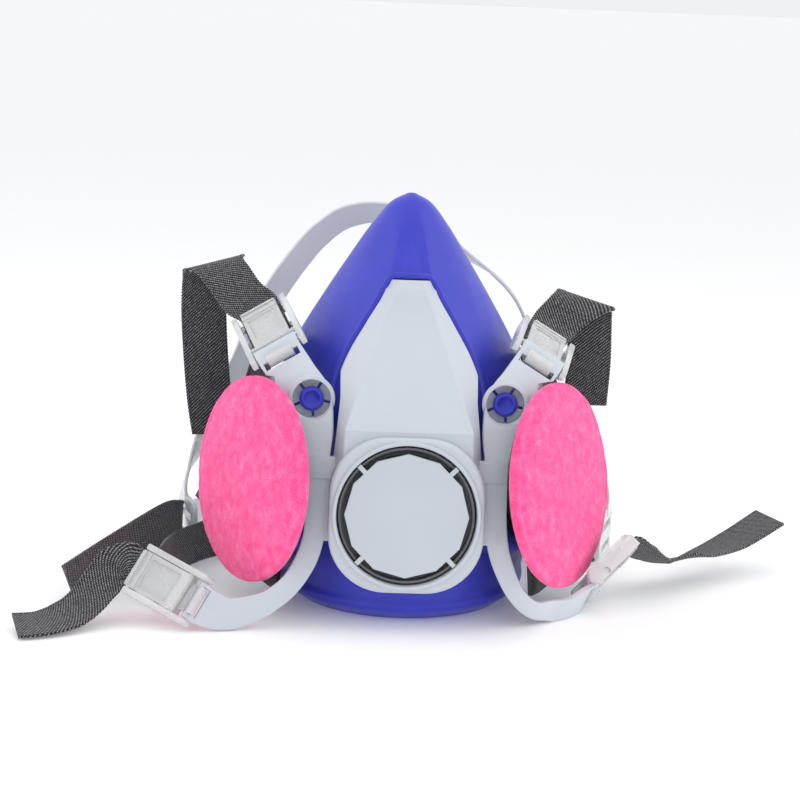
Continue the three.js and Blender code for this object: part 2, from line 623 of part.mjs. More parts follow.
function stationsOf(rows, width) {
  return rows.map(([x, y, z, a, b, c]) => ({ at: v(x, y, z), across: v(a, b, c).normalize(), width }));
}

function strapLeg(name) {
  return onFloor(strip(stationsOf(LEGS[name], STRAP_WIDTH), STRAP_THICKNESS, 4));
}

function strapTail(key) {
  const level = key.split('_')[0];
  const [inside, width] = TAIL_WIDTH[level];
  const matrix = respiratorFromMask().multiply(buckleFrames[key]);
  const across = v(1, 0, 0).transformDirection(matrix);
  const reach = v(0, 0, BUCKLE_REACH[level]);
  const start = TAIL_IN_BUCKLE.map((point) => {
    return { at: point.clone().add(reach).applyMatrix4(matrix), across, width: inside };
  });
  const rows = stationsOf(TAILS[key], width);
  return strip(start.concat(rows), STRAP_THICKNESS, 3);
}

function respiratorFromMask() {
  mask.updateMatrix();
  return mask.matrix.clone();
}

// Crown band: upright behind the mask, from one slotted plate to the other.
const CROWN = [
  [-88.2, 79, 17, -0.3, 0.95, 0], [-86.4, 82, 30, 0, 1, 0], [-76.6, 86, 52, 0.75, 0.6, -0.2], [-65.6, 87, 75, 0.7, 0.6, -0.4],
  [-59.6, 87.6, 91, 0.65, 0.58, -0.45], [-52.6, 88, 105, 0.6, 0.55, -0.55], [-44, 88.6, 118, 0.5, 0.55, -0.63],
  [-35.4, 89, 128.4, 0.4, 0.55, -0.7], [-24, 88.6, 136.6, 0.2, 0.6, -0.77], [-8, 84, 139, 0, 0.7, -0.7],
  [10, 77.6, 132.6, -0.1, 0.85, -0.5], [25, 74, 123.5, -0.1, 0.95, -0.2], [36.4, 72, 116, 0, 1, 0],
  [44.4, 71, 107, 0, 1, 0], [50.6, 72, 94, 0, 1, 0.1], [60, 76, 70, -0.1, 1, 0.1], [76.6, 82, 46, -0.2, 0.95, 0.1],
  [86.4, 82, 30, 0, 1, 0], [88.2, 79, 17, 0.3, 0.95, 0],
];
// Rear band: on its edge on the floor behind the crown band.
const REAR = [
  [-88.4, 81, 8, 0, 0, 1], [-86, 104, 5.9, 0, 0.1, 1], [-60, 131, 5.9, 0, 0.1, 1], [-30, 143, 5.9, 0, 0.1, 1],
  [0, 147, 5.9, 0, 0.1, 1], [30, 143, 5.9, 0, 0.1, 1], [60, 131, 5.9, 0, 0.1, 1], [86, 104, 5.9, 0, 0.1, 1],
  [88.4, 81, 8, 0, 0, 1],
];

// Slotted plate that the upper strap threads through, standing at one side behind the mask.
function cradlePlate(side) {
  const shape = new THREE.Shape();
  const half = 13;
  const radius = 5;
  shape.moveTo(-half + radius, -10);
  shape.lineTo(half - radius, -10);
  shape.absarc(half - radius, -10 + radius, radius, -Math.PI / 2, 0);
  shape.absarc(half - radius, 11 - radius, radius, 0, Math.PI / 2);
  shape.absarc(-half + radius, 11 - radius, radius, Math.PI / 2, Math.PI);
  shape.absarc(-half + radius, -10 + radius, radius, Math.PI, Math.PI * 1.5);
  for (const level of [-5.6, 2.8]) {
    const slot = new THREE.Path();
    slot.moveTo(-8.8, level);
    slot.lineTo(8.8, level);
    slot.lineTo(8.8, level + 3);
    slot.lineTo(-8.8, level + 3);
    shape.holes.push(slot);
  }
  const plate = new THREE.ExtrudeGeometry(shape, { depth: 2, bevelEnabled: false, curveSegments: 4 });
  const matrix = new THREE.Matrix4().makeBasis(v(side * 0.3, 0.954, 0), v(0, 0, 1), v(side * 0.954, -0.3, 0));
  if (matrix.determinant() < 0) {
    plate.translate(0, 0, -2);
  }
  return solid(plate.applyMatrix4(matrix.setPosition(side * 84.6, 74, 10)));
}

function headCradle() {
  const crown = strip(stationsOf(CROWN, CRADLE_WIDTH), CRADLE_THICKNESS, 2);
  const rear = strip(stationsOf(REAR, CRADLE_WIDTH), CRADLE_THICKNESS, 2);
  return onFloor(crown.add(rear).add(cradlePlate(-1)).add(cradlePlate(1)));
}

// ---- assembly -------------------------------------------------------------------------------
const respirator = new THREE.Group();
const mask = new THREE.Group();
mask.position.copy(VALVE);
mask.rotation.x = rad(-LEAN);
respirator.add(mask);

mask.add(meshOf('facepiece', facepiece(), SILICONE));
mask.add(meshOf('front_shell', frontShell(), GREY));
mask.add(meshOf('valve_seat', facing(valveSeat(), 0, 0, 0), GREY));
mask.add(meshOf('exhalation_flap', facing(disc(19.6, -9.9, -9.1, 40), 0, 0, 0), FLAP));
mask.add(meshOf('valve_ring', facing(valveRing(), 0, 0, 0), DARK_RING));
mask.add(meshOf('valve_cover', facing(valveCover(), 0, 0, 0), GREY));

const SIDES = [['left', -1], ['right', 1]];
const buckleFrames = {};
for (const [name, side] of SIDES) {
  mask.add(meshOf(`harness_arm_${name}`, harnessArm(side), GREY));
  mask.add(meshOf(`stud_${name}`, facing(mountingStud(), side * STUD.x, STUD.y, STUD.z), SILICONE));
  mask.add(meshOf(`port_body_${name}`, portBody(side), BLACK));
  mask.add(meshOf(`inhalation_flap_${name}`, onPort(disc(11.6, -9.8, -9.1), side), FLAP));
  mask.add(meshOf(`filter_gasket_${name}`, onPort(ring(14.6, 19, 8.7, 10.3), side), GASKET));
  mask.add(meshOf(`filter_mount_${name}`, onPort(filterMount(), side), BLACK));
  mask.add(meshOf(`filter_pad_${name}`, onPort(filterPad(), side), FELT));
  for (const [level, lean] of [['upper', UPPER_LEAN[side]], ['lower', LOWER_LEAN[side]]]) {
    // the buckle leans back from the arm about the arm's end bar
    const matrix = endFrame(side, level === 'upper').multiply(new THREE.Matrix4().makeRotationX(rad(-lean)));
    const key = `${level}_${name}`;
    buckleFrames[key] = matrix;
    mask.add(meshOf(`buckle_frame_${key}`, buckleFrame(level).transform(matrix.toArray()), CLEAR));
    mask.add(meshOf(`buckle_lever_${key}`, buckleLever(level).transform(matrix.toArray()), CLEAR));
  }
}

respirator.add(meshOf('head_cradle', headCradle(), CRADLE));
respirator.add(meshOf('neck_strap', strapLeg('neck'), WEBBING));
respirator.add(meshOf('upper_strap_end_left', strapLeg('loose'), WEBBING));
for (const key of Object.keys(buckleFrames)) {
  respirator.add(meshOf(`strap_tail_${key}`, strapTail(key), WEBBING));
}
for (const [name] of SIDES) {
  respirator.add(meshOf(`upper_strap_${name}`, strapLeg(`upper_${name}`), WEBBING));
}

export default respirator;
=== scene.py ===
"""Looks of a half-face respirator standing on its chin. Sizes are in millimetres and are scaled to
metres where each mesh is made. The mask's own frame leans back 7 degrees from the floor's."""

import math

import bmesh
import bpy
import numpy as np
from mathutils import Matrix, Vector, noise


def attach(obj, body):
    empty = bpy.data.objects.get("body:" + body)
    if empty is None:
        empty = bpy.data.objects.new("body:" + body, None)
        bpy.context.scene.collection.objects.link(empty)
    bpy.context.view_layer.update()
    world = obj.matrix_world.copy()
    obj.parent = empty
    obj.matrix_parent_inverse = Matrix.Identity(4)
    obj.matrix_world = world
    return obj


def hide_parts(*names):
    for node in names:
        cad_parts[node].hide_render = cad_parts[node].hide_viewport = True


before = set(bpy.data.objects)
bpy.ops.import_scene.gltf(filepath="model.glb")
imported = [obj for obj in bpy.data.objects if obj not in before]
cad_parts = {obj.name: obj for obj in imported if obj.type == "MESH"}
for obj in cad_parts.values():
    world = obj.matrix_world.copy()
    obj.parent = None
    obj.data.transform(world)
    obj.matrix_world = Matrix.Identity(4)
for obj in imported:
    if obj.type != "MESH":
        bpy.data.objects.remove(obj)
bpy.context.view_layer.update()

MM = 0.001
SIDES = {"left": -1, "right": 1}

# ---- curves and lofts ----------------------------------------------------------------------------


def unit(p):
    p = np.asarray(p, float)
    return p / np.linalg.norm(p)


def through(points, t, centripetal=False):
    """The point at t from 0 to 1 on a smooth curve through all the points."""
    points = np.asarray(points, float)
    last = len(points) - 1
    place = min(max(t, 0.0), 1.0) * last
    k = min(int(place), last - 1)
    w = place - k
    p1, p2 = points[k], points[k + 1]
    p0 = points[k - 1] if k > 0 else 2 * p1 - p2
    p3 = points[k + 2] if k + 2 <= last else 2 * p2 - p1
    if centripetal:
        d0, d1, d2 = (max(np.sqrt(np.linalg.norm(b - a)), 1e-4) for a, b in ((p0, p1), (p1, p2), (p2, p3)))
        t1 = ((p1 - p0) / d0 - (p2 - p0) / (d0 + d1) + (p2 - p1) / d1) * d1
        t2 = ((p2 - p1) / d1 - (p3 - p1) / (d1 + d2) + (p3 - p2) / d2) * d1
    else:
        t1, t2 = (p2 - p0) / 2, (p3 - p1) / 2
    return p1 + t1 * w + (3 * (p2 - p1) - 2 * t1 - t2) * w**2 + (2 * (p1 - p2) + t1 + t2) * w**3


def tangent(points, t):
    return unit(through(points, min(t + 1e-3, 1)) - through(points, max(t - 1e-3, 0)))


def loft(rings):
    """Points and faces of a closed body through rings that all have the same count."""
    rings = np.asarray(rings, float)
    rows, count = rings.shape[:2]
    points = [tuple(p) for ring in rings for p in ring]
    faces = []
    for i in range(rows - 1):
        for j in range(count):
            a, b = i * count + j, i * count + (j + 1) % count
            faces.append((a, b, b + count, a + count))
    points += [tuple(rings[0].mean(axis=0)), tuple(rings[-1].mean(axis=0))]
    first, last = len(points) - 2, len(points) - 1
    for j in range(count):
        k = (j + 1) % count
        faces.append((first, k, j))
        faces.append((last, (rows - 1) * count + j, (rows - 1) * count + k))
    return points, faces


def rounded(corners, radii, steps=4):
    """A flat outline with its corners rounded."""
    out = []
    corners = [np.asarray(c, float) for c in corners]
    for i, c in enumerate(corners):
        before, after = corners[i - 1], corners[(i + 1) % len(corners)]
        r = radii if np.isscalar(radii) else radii[i]
        a, b = unit(before - c), unit(after - c)
        half = math.acos(max(-1, min(1, float(a @ b)))) / 2
        longest = 0.45 * min(np.linalg.norm(before - c), np.linalg.norm(after - c))
        reach = min(r / max(math.tan(half), 1e-3), longest)
        for k in range(steps + 1):
            w = k / steps
            out.append(c + a * reach * (1 - w) ** 2 + b * reach * w**2)
    return np.array(out)


def slab(half_width, half_depth, radius, steps=3):
    w, d = half_width, half_depth
    return rounded([(-w, -d), (w, -d), (w, d), (-w, d)], radius, steps)


def turned(profile, segments=64):
    """A body turned about +Z from [radius, height] pairs, from axis to axis or closed."""
    profile = np.asarray(profile, float)
    closed = profile[0][0] > 1e-6
    rows = [p for p in profile if p[0] > 1e-6]
    angles = np.linspace(0, 2 * math.pi, segments, endpoint=False)
    points = [(r * math.cos(a), r * math.sin(a), z) for r, z in rows for a in angles]
    faces = []
    spans = len(rows) if closed else len(rows) - 1
    for i in range(spans):
        a, b = i * segments, (i + 1) % len(rows) * segments
        for j in range(segments):
            k = (j + 1) % segments
            faces.append((a + j, a + k, b + k, b + j))
    if not closed:
        points += [(0, 0, profile[0][1]), (0, 0, profile[-1][1])]
        start = (len(rows) - 1) * segments
        for j in range(segments):
            k = (j + 1) % segments
            faces.append((len(points) - 2, k, j))
            faces.append((len(points) - 1, start + j, start + k))
    return points, faces


def extruded(outline, low, high, radius=0.0, steps=3):
    """A flat outline in X and Y raised from low to high, its upper edge rounded by radius."""
    outline = np.asarray(outline, float)
    centre = outline.mean(axis=0)
    rings = [np.column_stack([outline, np.full(len(outline), low)])]
    if radius == 0:
        rings.append(np.column_stack([outline, np.full(len(outline), high)]))
    size = np.abs(outline - centre).max()
    for k in range(steps + 1 if radius else 0):
        a = k / steps * math.pi / 2
        inward = 1 - radius * (1 - math.cos(a)) / size
        level = high - radius + radius * math.sin(a)
        rings.append(np.column_stack([centre + (outline - centre) * inward, np.full(len(outline), level)]))
    return loft(rings)


def box(low, high):
    low, high = np.asarray(low, float), np.asarray(high, float)
    outline = [(low[0], low[1]), (high[0], low[1]), (high[0], high[1]), (low[0], high[1])]
    return extruded(outline, low[2], high[2])


def moved(body, matrix):
    points, faces = body
    return [tuple(matrix @ Vector(p)) for p in points], faces


# ---- meshes and pieces ---------------------------------------------------------------------------


def mesh_object(name, body):
    points, faces = body
    mesh = bpy.data.meshes.new(name)
    mesh.from_pydata([Vector(p) * MM for p in points], [], faces)
    work = bmesh.new()
    work.from_mesh(mesh)
    bmesh.ops.remove_doubles(work, verts=work.verts, dist=2e-7)
    bmesh.ops.recalc_face_normals(work, faces=work.faces)
    if work.calc_volume(signed=True) < 0:
        bmesh.ops.reverse_faces(work, faces=work.faces)
    work.to_mesh(mesh)
    work.free()
    obj = bpy.data.objects.new(name, mesh)
    bpy.context.scene.collection.objects.link(obj)
    return obj


def baked(obj):
    """Replaces the object's mesh by the one that its modifiers make."""
    bpy.context.view_layer.update()
    result = bpy.data.meshes.new_from_object(obj.evaluated_get(bpy.context.evaluated_depsgraph_get()))
    obj.modifiers.clear()
    obj.data = result
    return obj


def shaped(name, body, add=(), cut=()):
    """One closed mesh: the body with others added to it, then others cut from it."""
    obj = mesh_object(name, body)
    for kind, bodies in (("UNION", add), ("DIFFERENCE", cut)):
        for k, other in enumerate(bodies):
            tool = mesh_object(f"{name}_tool_{k}", other)
            step = obj.modifiers.new("cut", "BOOLEAN")
            step.operation, step.object, step.solver = kind, tool, "MANIFOLD"
            baked(obj)
            bpy.data.objects.remove(tool)
    return obj


def softened(obj, width, steps=2, angle=30):
    """Rounds the edges that are sharper than angle."""
    work = bmesh.new()
    work.from_mesh(obj.data)
    bmesh.ops.dissolve_limit(work, angle_limit=0.02, verts=work.verts, edges=work.edges)
    work.to_mesh(obj.data)
    work.free()
    step = obj.modifiers.new("round", "BEVEL")
    step.width, step.segments, step.angle_limit = width * MM, steps, math.radians(angle)
    step.limit_method, step.use_clamp_overlap, step.miter_outer = "ANGLE", True, "MITER_ARC"
    return baked(obj)


def dressed(obj, body, material, replaces=(), angle=38):
    obj.data.materials.clear()
    obj.data.materials.append(material)
    for face in obj.data.polygons:
        face.use_smooth = True
        face.material_index = 0
    obj.data.set_sharp_from_angle(angle=math.radians(angle))
    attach(obj, body)
    if replaces:
        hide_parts(*replaces)
    return obj


# ---- materials -----------------------------------------------------------------------------------


class Surface:
    """A procedural material: a Principled shader with a small kit for building its inputs."""

    def __init__(self, name, roughness, **sockets):
        self.material = bpy.data.materials.new(name)
        self.material.use_nodes = True
        self.nodes = self.material.node_tree.nodes
        self.links = self.material.node_tree.links
        self.shader = self.nodes["Principled BSDF"]
        self.shader.inputs["Roughness"].default_value = roughness
        for key, value in sockets.items():
            self.shader.inputs[key.replace("_", " ")].default_value = value
        self.place = self.nodes.new("ShaderNodeTexCoord")

    def put(self, kind, **values):
        node = self.nodes.new(kind)
        for key, value in values.items():
            if key in node.inputs:
                node.inputs[key].default_value = value
            else:
                setattr(node, key, value)
        return node

    def join(self, source, target):
        self.links.new(source, target)

    def noise(self, scale, detail=3.0, roughness=0.55, where="Object"):
        node = self.put("ShaderNodeTexNoise", Scale=scale, Detail=detail, Roughness=roughness)
        self.join(self.place.outputs[where], node.inputs["Vector"])
        return node.outputs["Fac"]

    def ramp(self, source, stops):
        node = self.nodes.new("ShaderNodeValToRGB")
        keys = node.color_ramp.elements
        for at, _ in stops[2:]:
            keys.new(at)
        for key, (at, colour) in zip(keys, stops):
            key.position = at
            key.color = (*colour, 1)
        self.join(source, node.inputs["Fac"])
        return node.outputs["Color"]

    def span(self, source, low, high, start=0.3, end=0.7):
        node = self.put("ShaderNodeMapRange")
        for key, value in (("From Min", start), ("From Max", end), ("To Min", low), ("To Max", high)):
            node.inputs[key].default_value = value
        self.join(source, node.inputs["Value"])
        return node.outputs["Result"]

    def math(self, operation, a, b=None):
        node = self.put("ShaderNodeMath", operation=operation)
        for socket, value in zip(node.inputs, (a, b)):
            if value is None:
                continue
            if isinstance(value, (int, float)):
                socket.default_value = value
            else:
                self.join(value, socket)
        return node.outputs["Value"]

    def colour(self, source):
        self.join(source, self.shader.inputs["Base Color"])

    def rough(self, source):
        self.join(source, self.shader.inputs["Roughness"])

    def bump(self, source, strength, distance):
        node = self.put("ShaderNodeBump", Strength=strength, Distance=distance * MM)
        self.join(source, node.inputs["Height"])
        if self.shader.inputs["Normal"].links:
            self.join(self.shader.inputs["Normal"].links[0].from_socket, node.inputs["Normal"])
        self.join(node.outputs["Normal"], self.shader.inputs["Normal"])


def moulded(name, dark, light, roughness, grain=0.06, **sockets):
    """Moulded plastic or silicone: slow tone changes, fine grain and uneven gloss."""
    s = Surface(name, roughness, **sockets)
    s.colour(s.ramp(s.noise(22, 4), [(0.3, dark), (0.7, light)]))
    s.rough(s.span(s.noise(160, 5), roughness - 0.05, roughness + 0.07))
    s.bump(s.noise(5200, 2), grain, 0.05)
    s.bump(s.noise(240, 3), grain * 0.7, 0.12)
    return s.material


def felt():
    """Needled felt: matted fibres in two pinks over a soft uneven surface."""
    s = Surface("pink_needled_felt", 0.93, Sheen_Weight=0.35, Sheen_Roughness=0.55)
    s.shader.inputs["Sheen Tint"].default_value = (1, 0.62, 0.78, 1)
    s.shader.inputs["Specular IOR Level"].default_value = 0.2
    fibres = s.noise(2100, 8, 0.75)
    clouds = s.noise(240, 6, 0.7)
    both = s.math("ADD", s.math("MULTIPLY", fibres, 0.5), s.math("MULTIPLY", clouds, 0.5))
    stops = [(0.36, (0.93, 0.04, 0.22)), (0.47, (0.97, 0.08, 0.29))]
    stops += [(0.56, (1.0, 0.145, 0.37)), (0.68, (1.0, 0.42, 0.6))]
    s.colour(s.ramp(both, stops))
    s.bump(fibres, 0.55, 0.35)
    s.bump(clouds, 0.35, 0.8)
    return s.material


def webbing():
    """Woven elastic: diagonal flecks of lighter yarn over cross ribs, from each strap's own UVs in mm."""
    s = Surface("grey_woven_elastic", 0.86, Sheen_Weight=0.25, Sheen_Roughness=0.5)
    s.shader.inputs["Specular IOR Level"].default_value = 0.25
    split = s.nodes.new("ShaderNodeSeparateXYZ")
    s.join(s.place.outputs["UV"], split.inputs["Vector"])
    across, along = split.outputs["X"], split.outputs["Y"]
    slant = s.math("ADD", s.math("MULTIPLY", across, 4.4), s.math("MULTIPLY", along, 5.0))
    other = s.math("SUBTRACT", s.math("MULTIPLY", across, 8.2), s.math("MULTIPLY", along, 3.6))
    twill = s.math("ADD", s.math("SINE", slant), s.math("MULTIPLY", s.math("SINE", other), 0.6))
    rib = s.math("SINE", s.math("MULTIPLY", along, 9.2))
    fleck = s.math("ADD", s.math("MULTIPLY", twill, 0.2), s.math("MULTIPLY", s.noise(1900, 3), 0.9))
    yarns = [(0.3, (0.01, 0.01, 0.012)), (0.5, (0.036, 0.036, 0.04)), (0.76, (0.33, 0.33, 0.34))]
    s.colour(s.ramp(fleck, yarns))
    s.bump(twill, 0.6, 0.25)
    s.bump(rib, 0.12, 0.2)
    s.bump(s.noise(3000, 3), 0.25, 0.2)
    return s.material


def clear_plastic(name, tint, transmission, roughness):
    s = Surface(name, roughness, Transmission_Weight=transmission, IOR=1.46)
    s.colour(s.ramp(s.noise(60, 3), [(0.3, tint), (0.7, tuple(min(1, c * 1.04) for c in tint))]))
    s.rough(s.span(s.noise(90, 3), roughness - 0.03, roughness + 0.05))
    return s.material


BLUE = moulded("blue_silicone", (0.021, 0.027, 0.43), (0.03, 0.038, 0.53), 0.42, 0.05,
               Sheen_Weight=0.16, Sheen_Roughness=0.4)
GREY = moulded("grey_shell_plastic", (0.52, 0.56, 0.6), (0.56, 0.6, 0.64), 0.4, 0.05)
# The arms are the same grey plastic as the shell. Their colour is painted lighter, as painted light,
# because their sideways faces get less light.
ARM_GREY_PAINTED_LIGHTER = moulded("arm_grey_plastic_painted_lighter", (0.56, 0.605, 0.65), (0.6, 0.645, 0.69), 0.4, 0.05)
RING = moulded("dark_valve_ring", (0.1, 0.104, 0.112), (0.135, 0.14, 0.148), 0.14, 0.02,
               Coat_Weight=0.3, Coat_Roughness=0.06)
BLACK = moulded("black_adapter_plastic", (0.006, 0.006, 0.007), (0.012, 0.012, 0.013), 0.16, 0.02)
RUBBER = moulded("gasket_rubber", (0.012, 0.012, 0.012), (0.022, 0.022, 0.022), 0.6, 0.08)
FLAP = moulded("pale_flap_silicone", (0.7, 0.67, 0.58), (0.78, 0.75, 0.66), 0.45, 0.03)
FELT = felt()
WEBBING = webbing()
CLEAR = clear_plastic("clear_buckle_plastic", (0.9, 0.91, 0.91), 0.5, 0.24)
MILKY = clear_plastic("milky_band_plastic", (0.83, 0.84, 0.85), 0.3, 0.34)

# ---- camera, light and floor ---------------------------------------------------------------------
eye = Vector((-27.1, -705.6, 224.2)) * MM
gaze = Vector((0.03335, 0.97903, -0.20099))
turn = gaze.to_track_quat("-Z", "Y") @ Matrix.Rotation(math.radians(2.23), 3, "Z").to_quaternion()
camera = bpy.data.objects.new("camera", bpy.data.cameras.new("camera"))
camera.matrix_world = Matrix.Translation(eye) @ turn.to_matrix().to_4x4()
camera.data.lens = 88.2
camera.data.clip_start = 0.01
bpy.context.scene.collection.objects.link(camera)
bpy.context.scene.camera = camera


def softbox(name, place, target, size, power, colour=(1, 1, 1)):
    light = bpy.data.lights.new(name, "AREA")
    light.shape, light.size, light.size_y = "RECTANGLE", size[0], size[1]
    light.energy, light.color = power, colour
    obj = bpy.data.objects.new(name, light)
    aim = (Vector(target) - Vector(place)).to_track_quat("-Z", "Y")
    obj.matrix_world = Matrix.Translation(place) @ aim.to_matrix().to_4x4()
    bpy.context.scene.collection.objects.link(obj)


softbox("side_left", (-0.75, -0.1, 0.42), (0, 0.02, 0.07), (0.5, 0.8), 1.7)
softbox("side_right", (0.75, -0.1, 0.42), (0, 0.02, 0.07), (0.5, 0.8), 2.1)
softbox("overhead", (0, 0.05, 0.9), (0, 0.02, 0.05), (1.1, 0.9), 1.2)
softbox("front", (0.05, -1.1, 0.75), (0, 0, 0.06), (0.8, 0.5), 0.5)

world = bpy.data.worlds.new("studio")
bpy.context.scene.world = world
world.use_nodes = True
world.node_tree.nodes["Background"].inputs["Color"].default_value = (0.96, 0.97, 1, 1)
world.node_tree.nodes["Background"].inputs["Strength"].default_value = 0.9
bpy.context.scene.view_settings.view_transform = "Standard"

# the floor runs on to the horizon, just under the chin
floor_points = [(x, y, -0.3) for x, y in ((-60000, -9000), (60000, -9000), (60000, 90000), (-60000, 90000))]
floor = mesh_object("floor", (floor_points, [(0, 1, 2, 3)]))
floor_paint = moulded("floor", (0.95, 0.95, 0.955), (0.965, 0.965, 0.97), 0.5, 0.0, Emission_Strength=0.09)
floor.data.materials.append(floor_paint)

# ---- places: the mask's own frame, its ports and its arms ----------------------------------------
LEAN = math.radians(7)
MASK = Matrix.Translation((0, -30, 43)) @ Matrix.Rotation(-LEAN, 4, "X")
FACING = Matrix.Rotation(math.pi / 2, 4, "X")


def basis(x, y, z, at):
    m = Matrix((x, y, z)).transposed().to_4x4()
    m.translation = Vector(at)
    return m


def port_place(side):
    """Stands a body made about +Z on the breathing port of one side, in the mask's frame."""
    axis = Vector((side * 0.839, -0.545, {-1: 0.04, 1: 0.09}[side])).normalized()
    back = Vector((0, 0, side)).cross(axis).normalized()
    return basis(back, axis.cross(back), axis, (side * 38 + {-1: 0, 1: 0.8}[side], 38.5, 8))


def facing_at(x, y, z):
    return MASK @ Matrix.Translation((x, y, z)) @ FACING


STUD = (35.5, 21, 39.5)
ARM_TOP = [
    (50.9, 30.9, 60.2, 17.2), (47.7, 28.75, 54.85, 17), (41.5, 24.7, 46.6, 16.6), (36.3, 21.8, 39.8, 16.4),
    (33.4, 18.5, 30, 12.6), (32.7, 15.4, 21, 9.6), (32.8, 13.4, 12, 7.8), (32.9, 12.4, 0, 7.6),
]
ARM_BOTTOM = {
    -1: [
        (33.1, 11.6, -9, 7.8), (35.6, 10.6, -18, 8.1), (40.9, 8.4, -26.8, 7.6), (47.8, 6.2, -32.6, 8),
        (55.2, 4.4, -35.8, 9.8, 2), (62.6, 3, -37.3, 11.6, 6), (69.5, 2, -35.7, 13.6, 11),
        (75.8, 1.2, -31.9, 14.4, 16),
    ],
    1: [
        (33.7, 12, -10.5, 7.8), (36.4, 12.4, -19.5, 7.4), (41.2, 12.4, -29, 6.4), (47.8, 15.6, -34.9, 6.6),
        (54.4, 21, -35.9, 8.2, 10), (61, 25.4, -36.4, 10.4, 32), (66.8, 30.2, -34, 13.4, 54),
        (71.8, 34.6, -30, 14.4, 72),
    ],
}


# from an arm's last station back to the pivot of its buckle, and half a slot and the arm's end past it
PIVOT_INSET = {"upper": 5.8, "lower": 0}
ARM_ENDS = {"upper": (7.1, 4.2), "lower": (5.7, 1.4)}
END_BAR, SLOT_HEIGHT = 1.4, 3


def arm_stations(side):
    """Place, direction, width direction and width at each station of an arm, in the mask's frame."""
    rows = ARM_TOP + ARM_BOTTOM[side]
    points = [np.array([side * r[0], r[1], r[2]]) for r in rows]
    out = []
    for i, row in enumerate(rows):
        along = tangent(points, i / (len(rows) - 1))
        across = unit(np.cross(along, (0, -1, 0)))
        twist = Matrix.Rotation(math.radians(row[4] if len(row) > 4 else 0), 3, Vector(along))
        out.append((points[i], along, np.array(twist @ Vector(across)), row[3]))
    return out


def end_place(side, top):
    """Frame of a buckle's pivot in an arm: X across the arm, Z out of it, Y to the back."""
    at, along, across, _ = arm_stations(side)[0 if top else -1]
    out = -along if top else along
    back = np.cross(out, across)
    if back[1] < 0:
        across, back = -across, -back
    inset = PIVOT_INSET["upper" if top else "lower"]
    return basis(Vector(across), Vector(back), Vector(out), at - out * inset)


def buckle_place(level, side):
    lean = {"upper": {-1: 30, 1: 46}, "lower": {-1: 24, 1: 0}}[level][side]
    return end_place(side, level == "upper") @ Matrix.Rotation(math.radians(-lean), 4, "X")


# ---- strips: arms, straps and bands --------------------------------------------------------------


def strip_rings(stations, outline, steps, oblique=False):
    """Rings along stations of (place, across, width); outline(width) gives the section. An oblique strip
    keeps the directions given across it, as webbing does where it folds over on a slant."""
    points = [s[0] for s in stations]
    spans = len(stations) - 1
    rings = []
    for i in range(spans * steps + 1):
        t = i / (spans * steps)
        k = min(int(t * spans), spans - 1)
        w = t * spans - k
        along = tangent(points, t)
        across = np.asarray(stations[k][1]) * (1 - w) + np.asarray(stations[k + 1][1]) * w
        square = across - along * (across @ along)
        across = across / np.linalg.norm(square) if oblique else unit(square)
        normal = unit(np.cross(across, along))
        ring = outline(stations[k][2] * (1 - w) + stations[k + 1][2] * w)
        rings.append(through(points, t) + ring[:, :1] * across + ring[:, 1:] * normal)
    return np.array(rings)


def with_uv(obj, count, widths, lengths):
    """UVs in millimetres for a strip: across its section, then along it."""
    layer = obj.data.uv_layers.new(name="UVMap")
    for face in obj.data.polygons:
        for loop in face.loop_indices:
            at = obj.data.loops[loop].vertex_index
            row, column = min(at // count, len(lengths) - 1), at % count
            layer.data[loop].uv = (widths[column], lengths[row])
    return obj


# ---- silicone facepiece --------------------------------------------------------------------------
# stations from chin to nose: height, half width, front, rim, squareness of the section
FACE = np.array([
    (-46, 40, 20, 52, 2.0), (-38, 43.5, 17, 60, 2.0), (-22, 49, 14, 74, 2.1), (0, 54.5, 13, 83, 2.1),
    (20, 55.5, 13.5, 86, 2.0), (40, 51, 18, 85, 1.85), (60, 42.5, 24, 80, 1.7), (78, 32, 32.5, 75, 1.6),
    (93, 22.5, 42.5, 71, 1.6), (105, 14.5, 50.5, 68, 1.7), (113.4, 7.5, 56.5, 66, 1.9),
    (116.6, 1.5, 61, 65, 2.0),
])
PANEL = [
    # height, half of the flat face, half of the skirt, front of the face, back of the skirt
    (0, 24, 28, 6, 20), (30, 23, 28, 4, 22), (45, 17.8, 26.6, 12.7, 25), (56, 14, 22.6, 19.1, 29),
    (68, 9.8, 16, 26, 34), (80, 5.6, 9.4, 31, 40), (83.6, 4.9, 7.4, 34.6, 42),
]


def smooth(x, low, high):
    w = min(max((x - low) / (high - low), 0.0), 1.0)
    return w * w * (3 - 2 * w)


def face_at(t):
    half, front, z = through(FACE[:, [1, 2, 0]], t, True)
    rim, power = through(FACE[:, [3, 4, 0]], t, True)[:2]
    return z, half, front, rim, 2 / power


def face_point(section, a, grow=0.0):
    z, half, front, rim, power = section
    half, depth = max(half + grow, 0.05), max(rim - front + grow, 0.4)
    x = half * np.sign(np.sin(a)) * abs(np.sin(a)) ** power
    return np.array([x, rim - depth * abs(np.cos(a)) ** power, z])


def skin_y(x, z):
    """How far back the outer skin is at a place seen from the front."""
    low, high = 0.0, 1.0
    for _ in range(30):
        mid = (low + high) / 2
        low, high = (mid, high) if face_at(mid)[0] < z else (low, mid)
    section = face_at(low)
    _, half, front, rim, power = section
    across = min(abs(x) / half, 0.999) ** (1 / power)
    return rim - (rim - front) * math.sqrt(1 - across**2) ** power


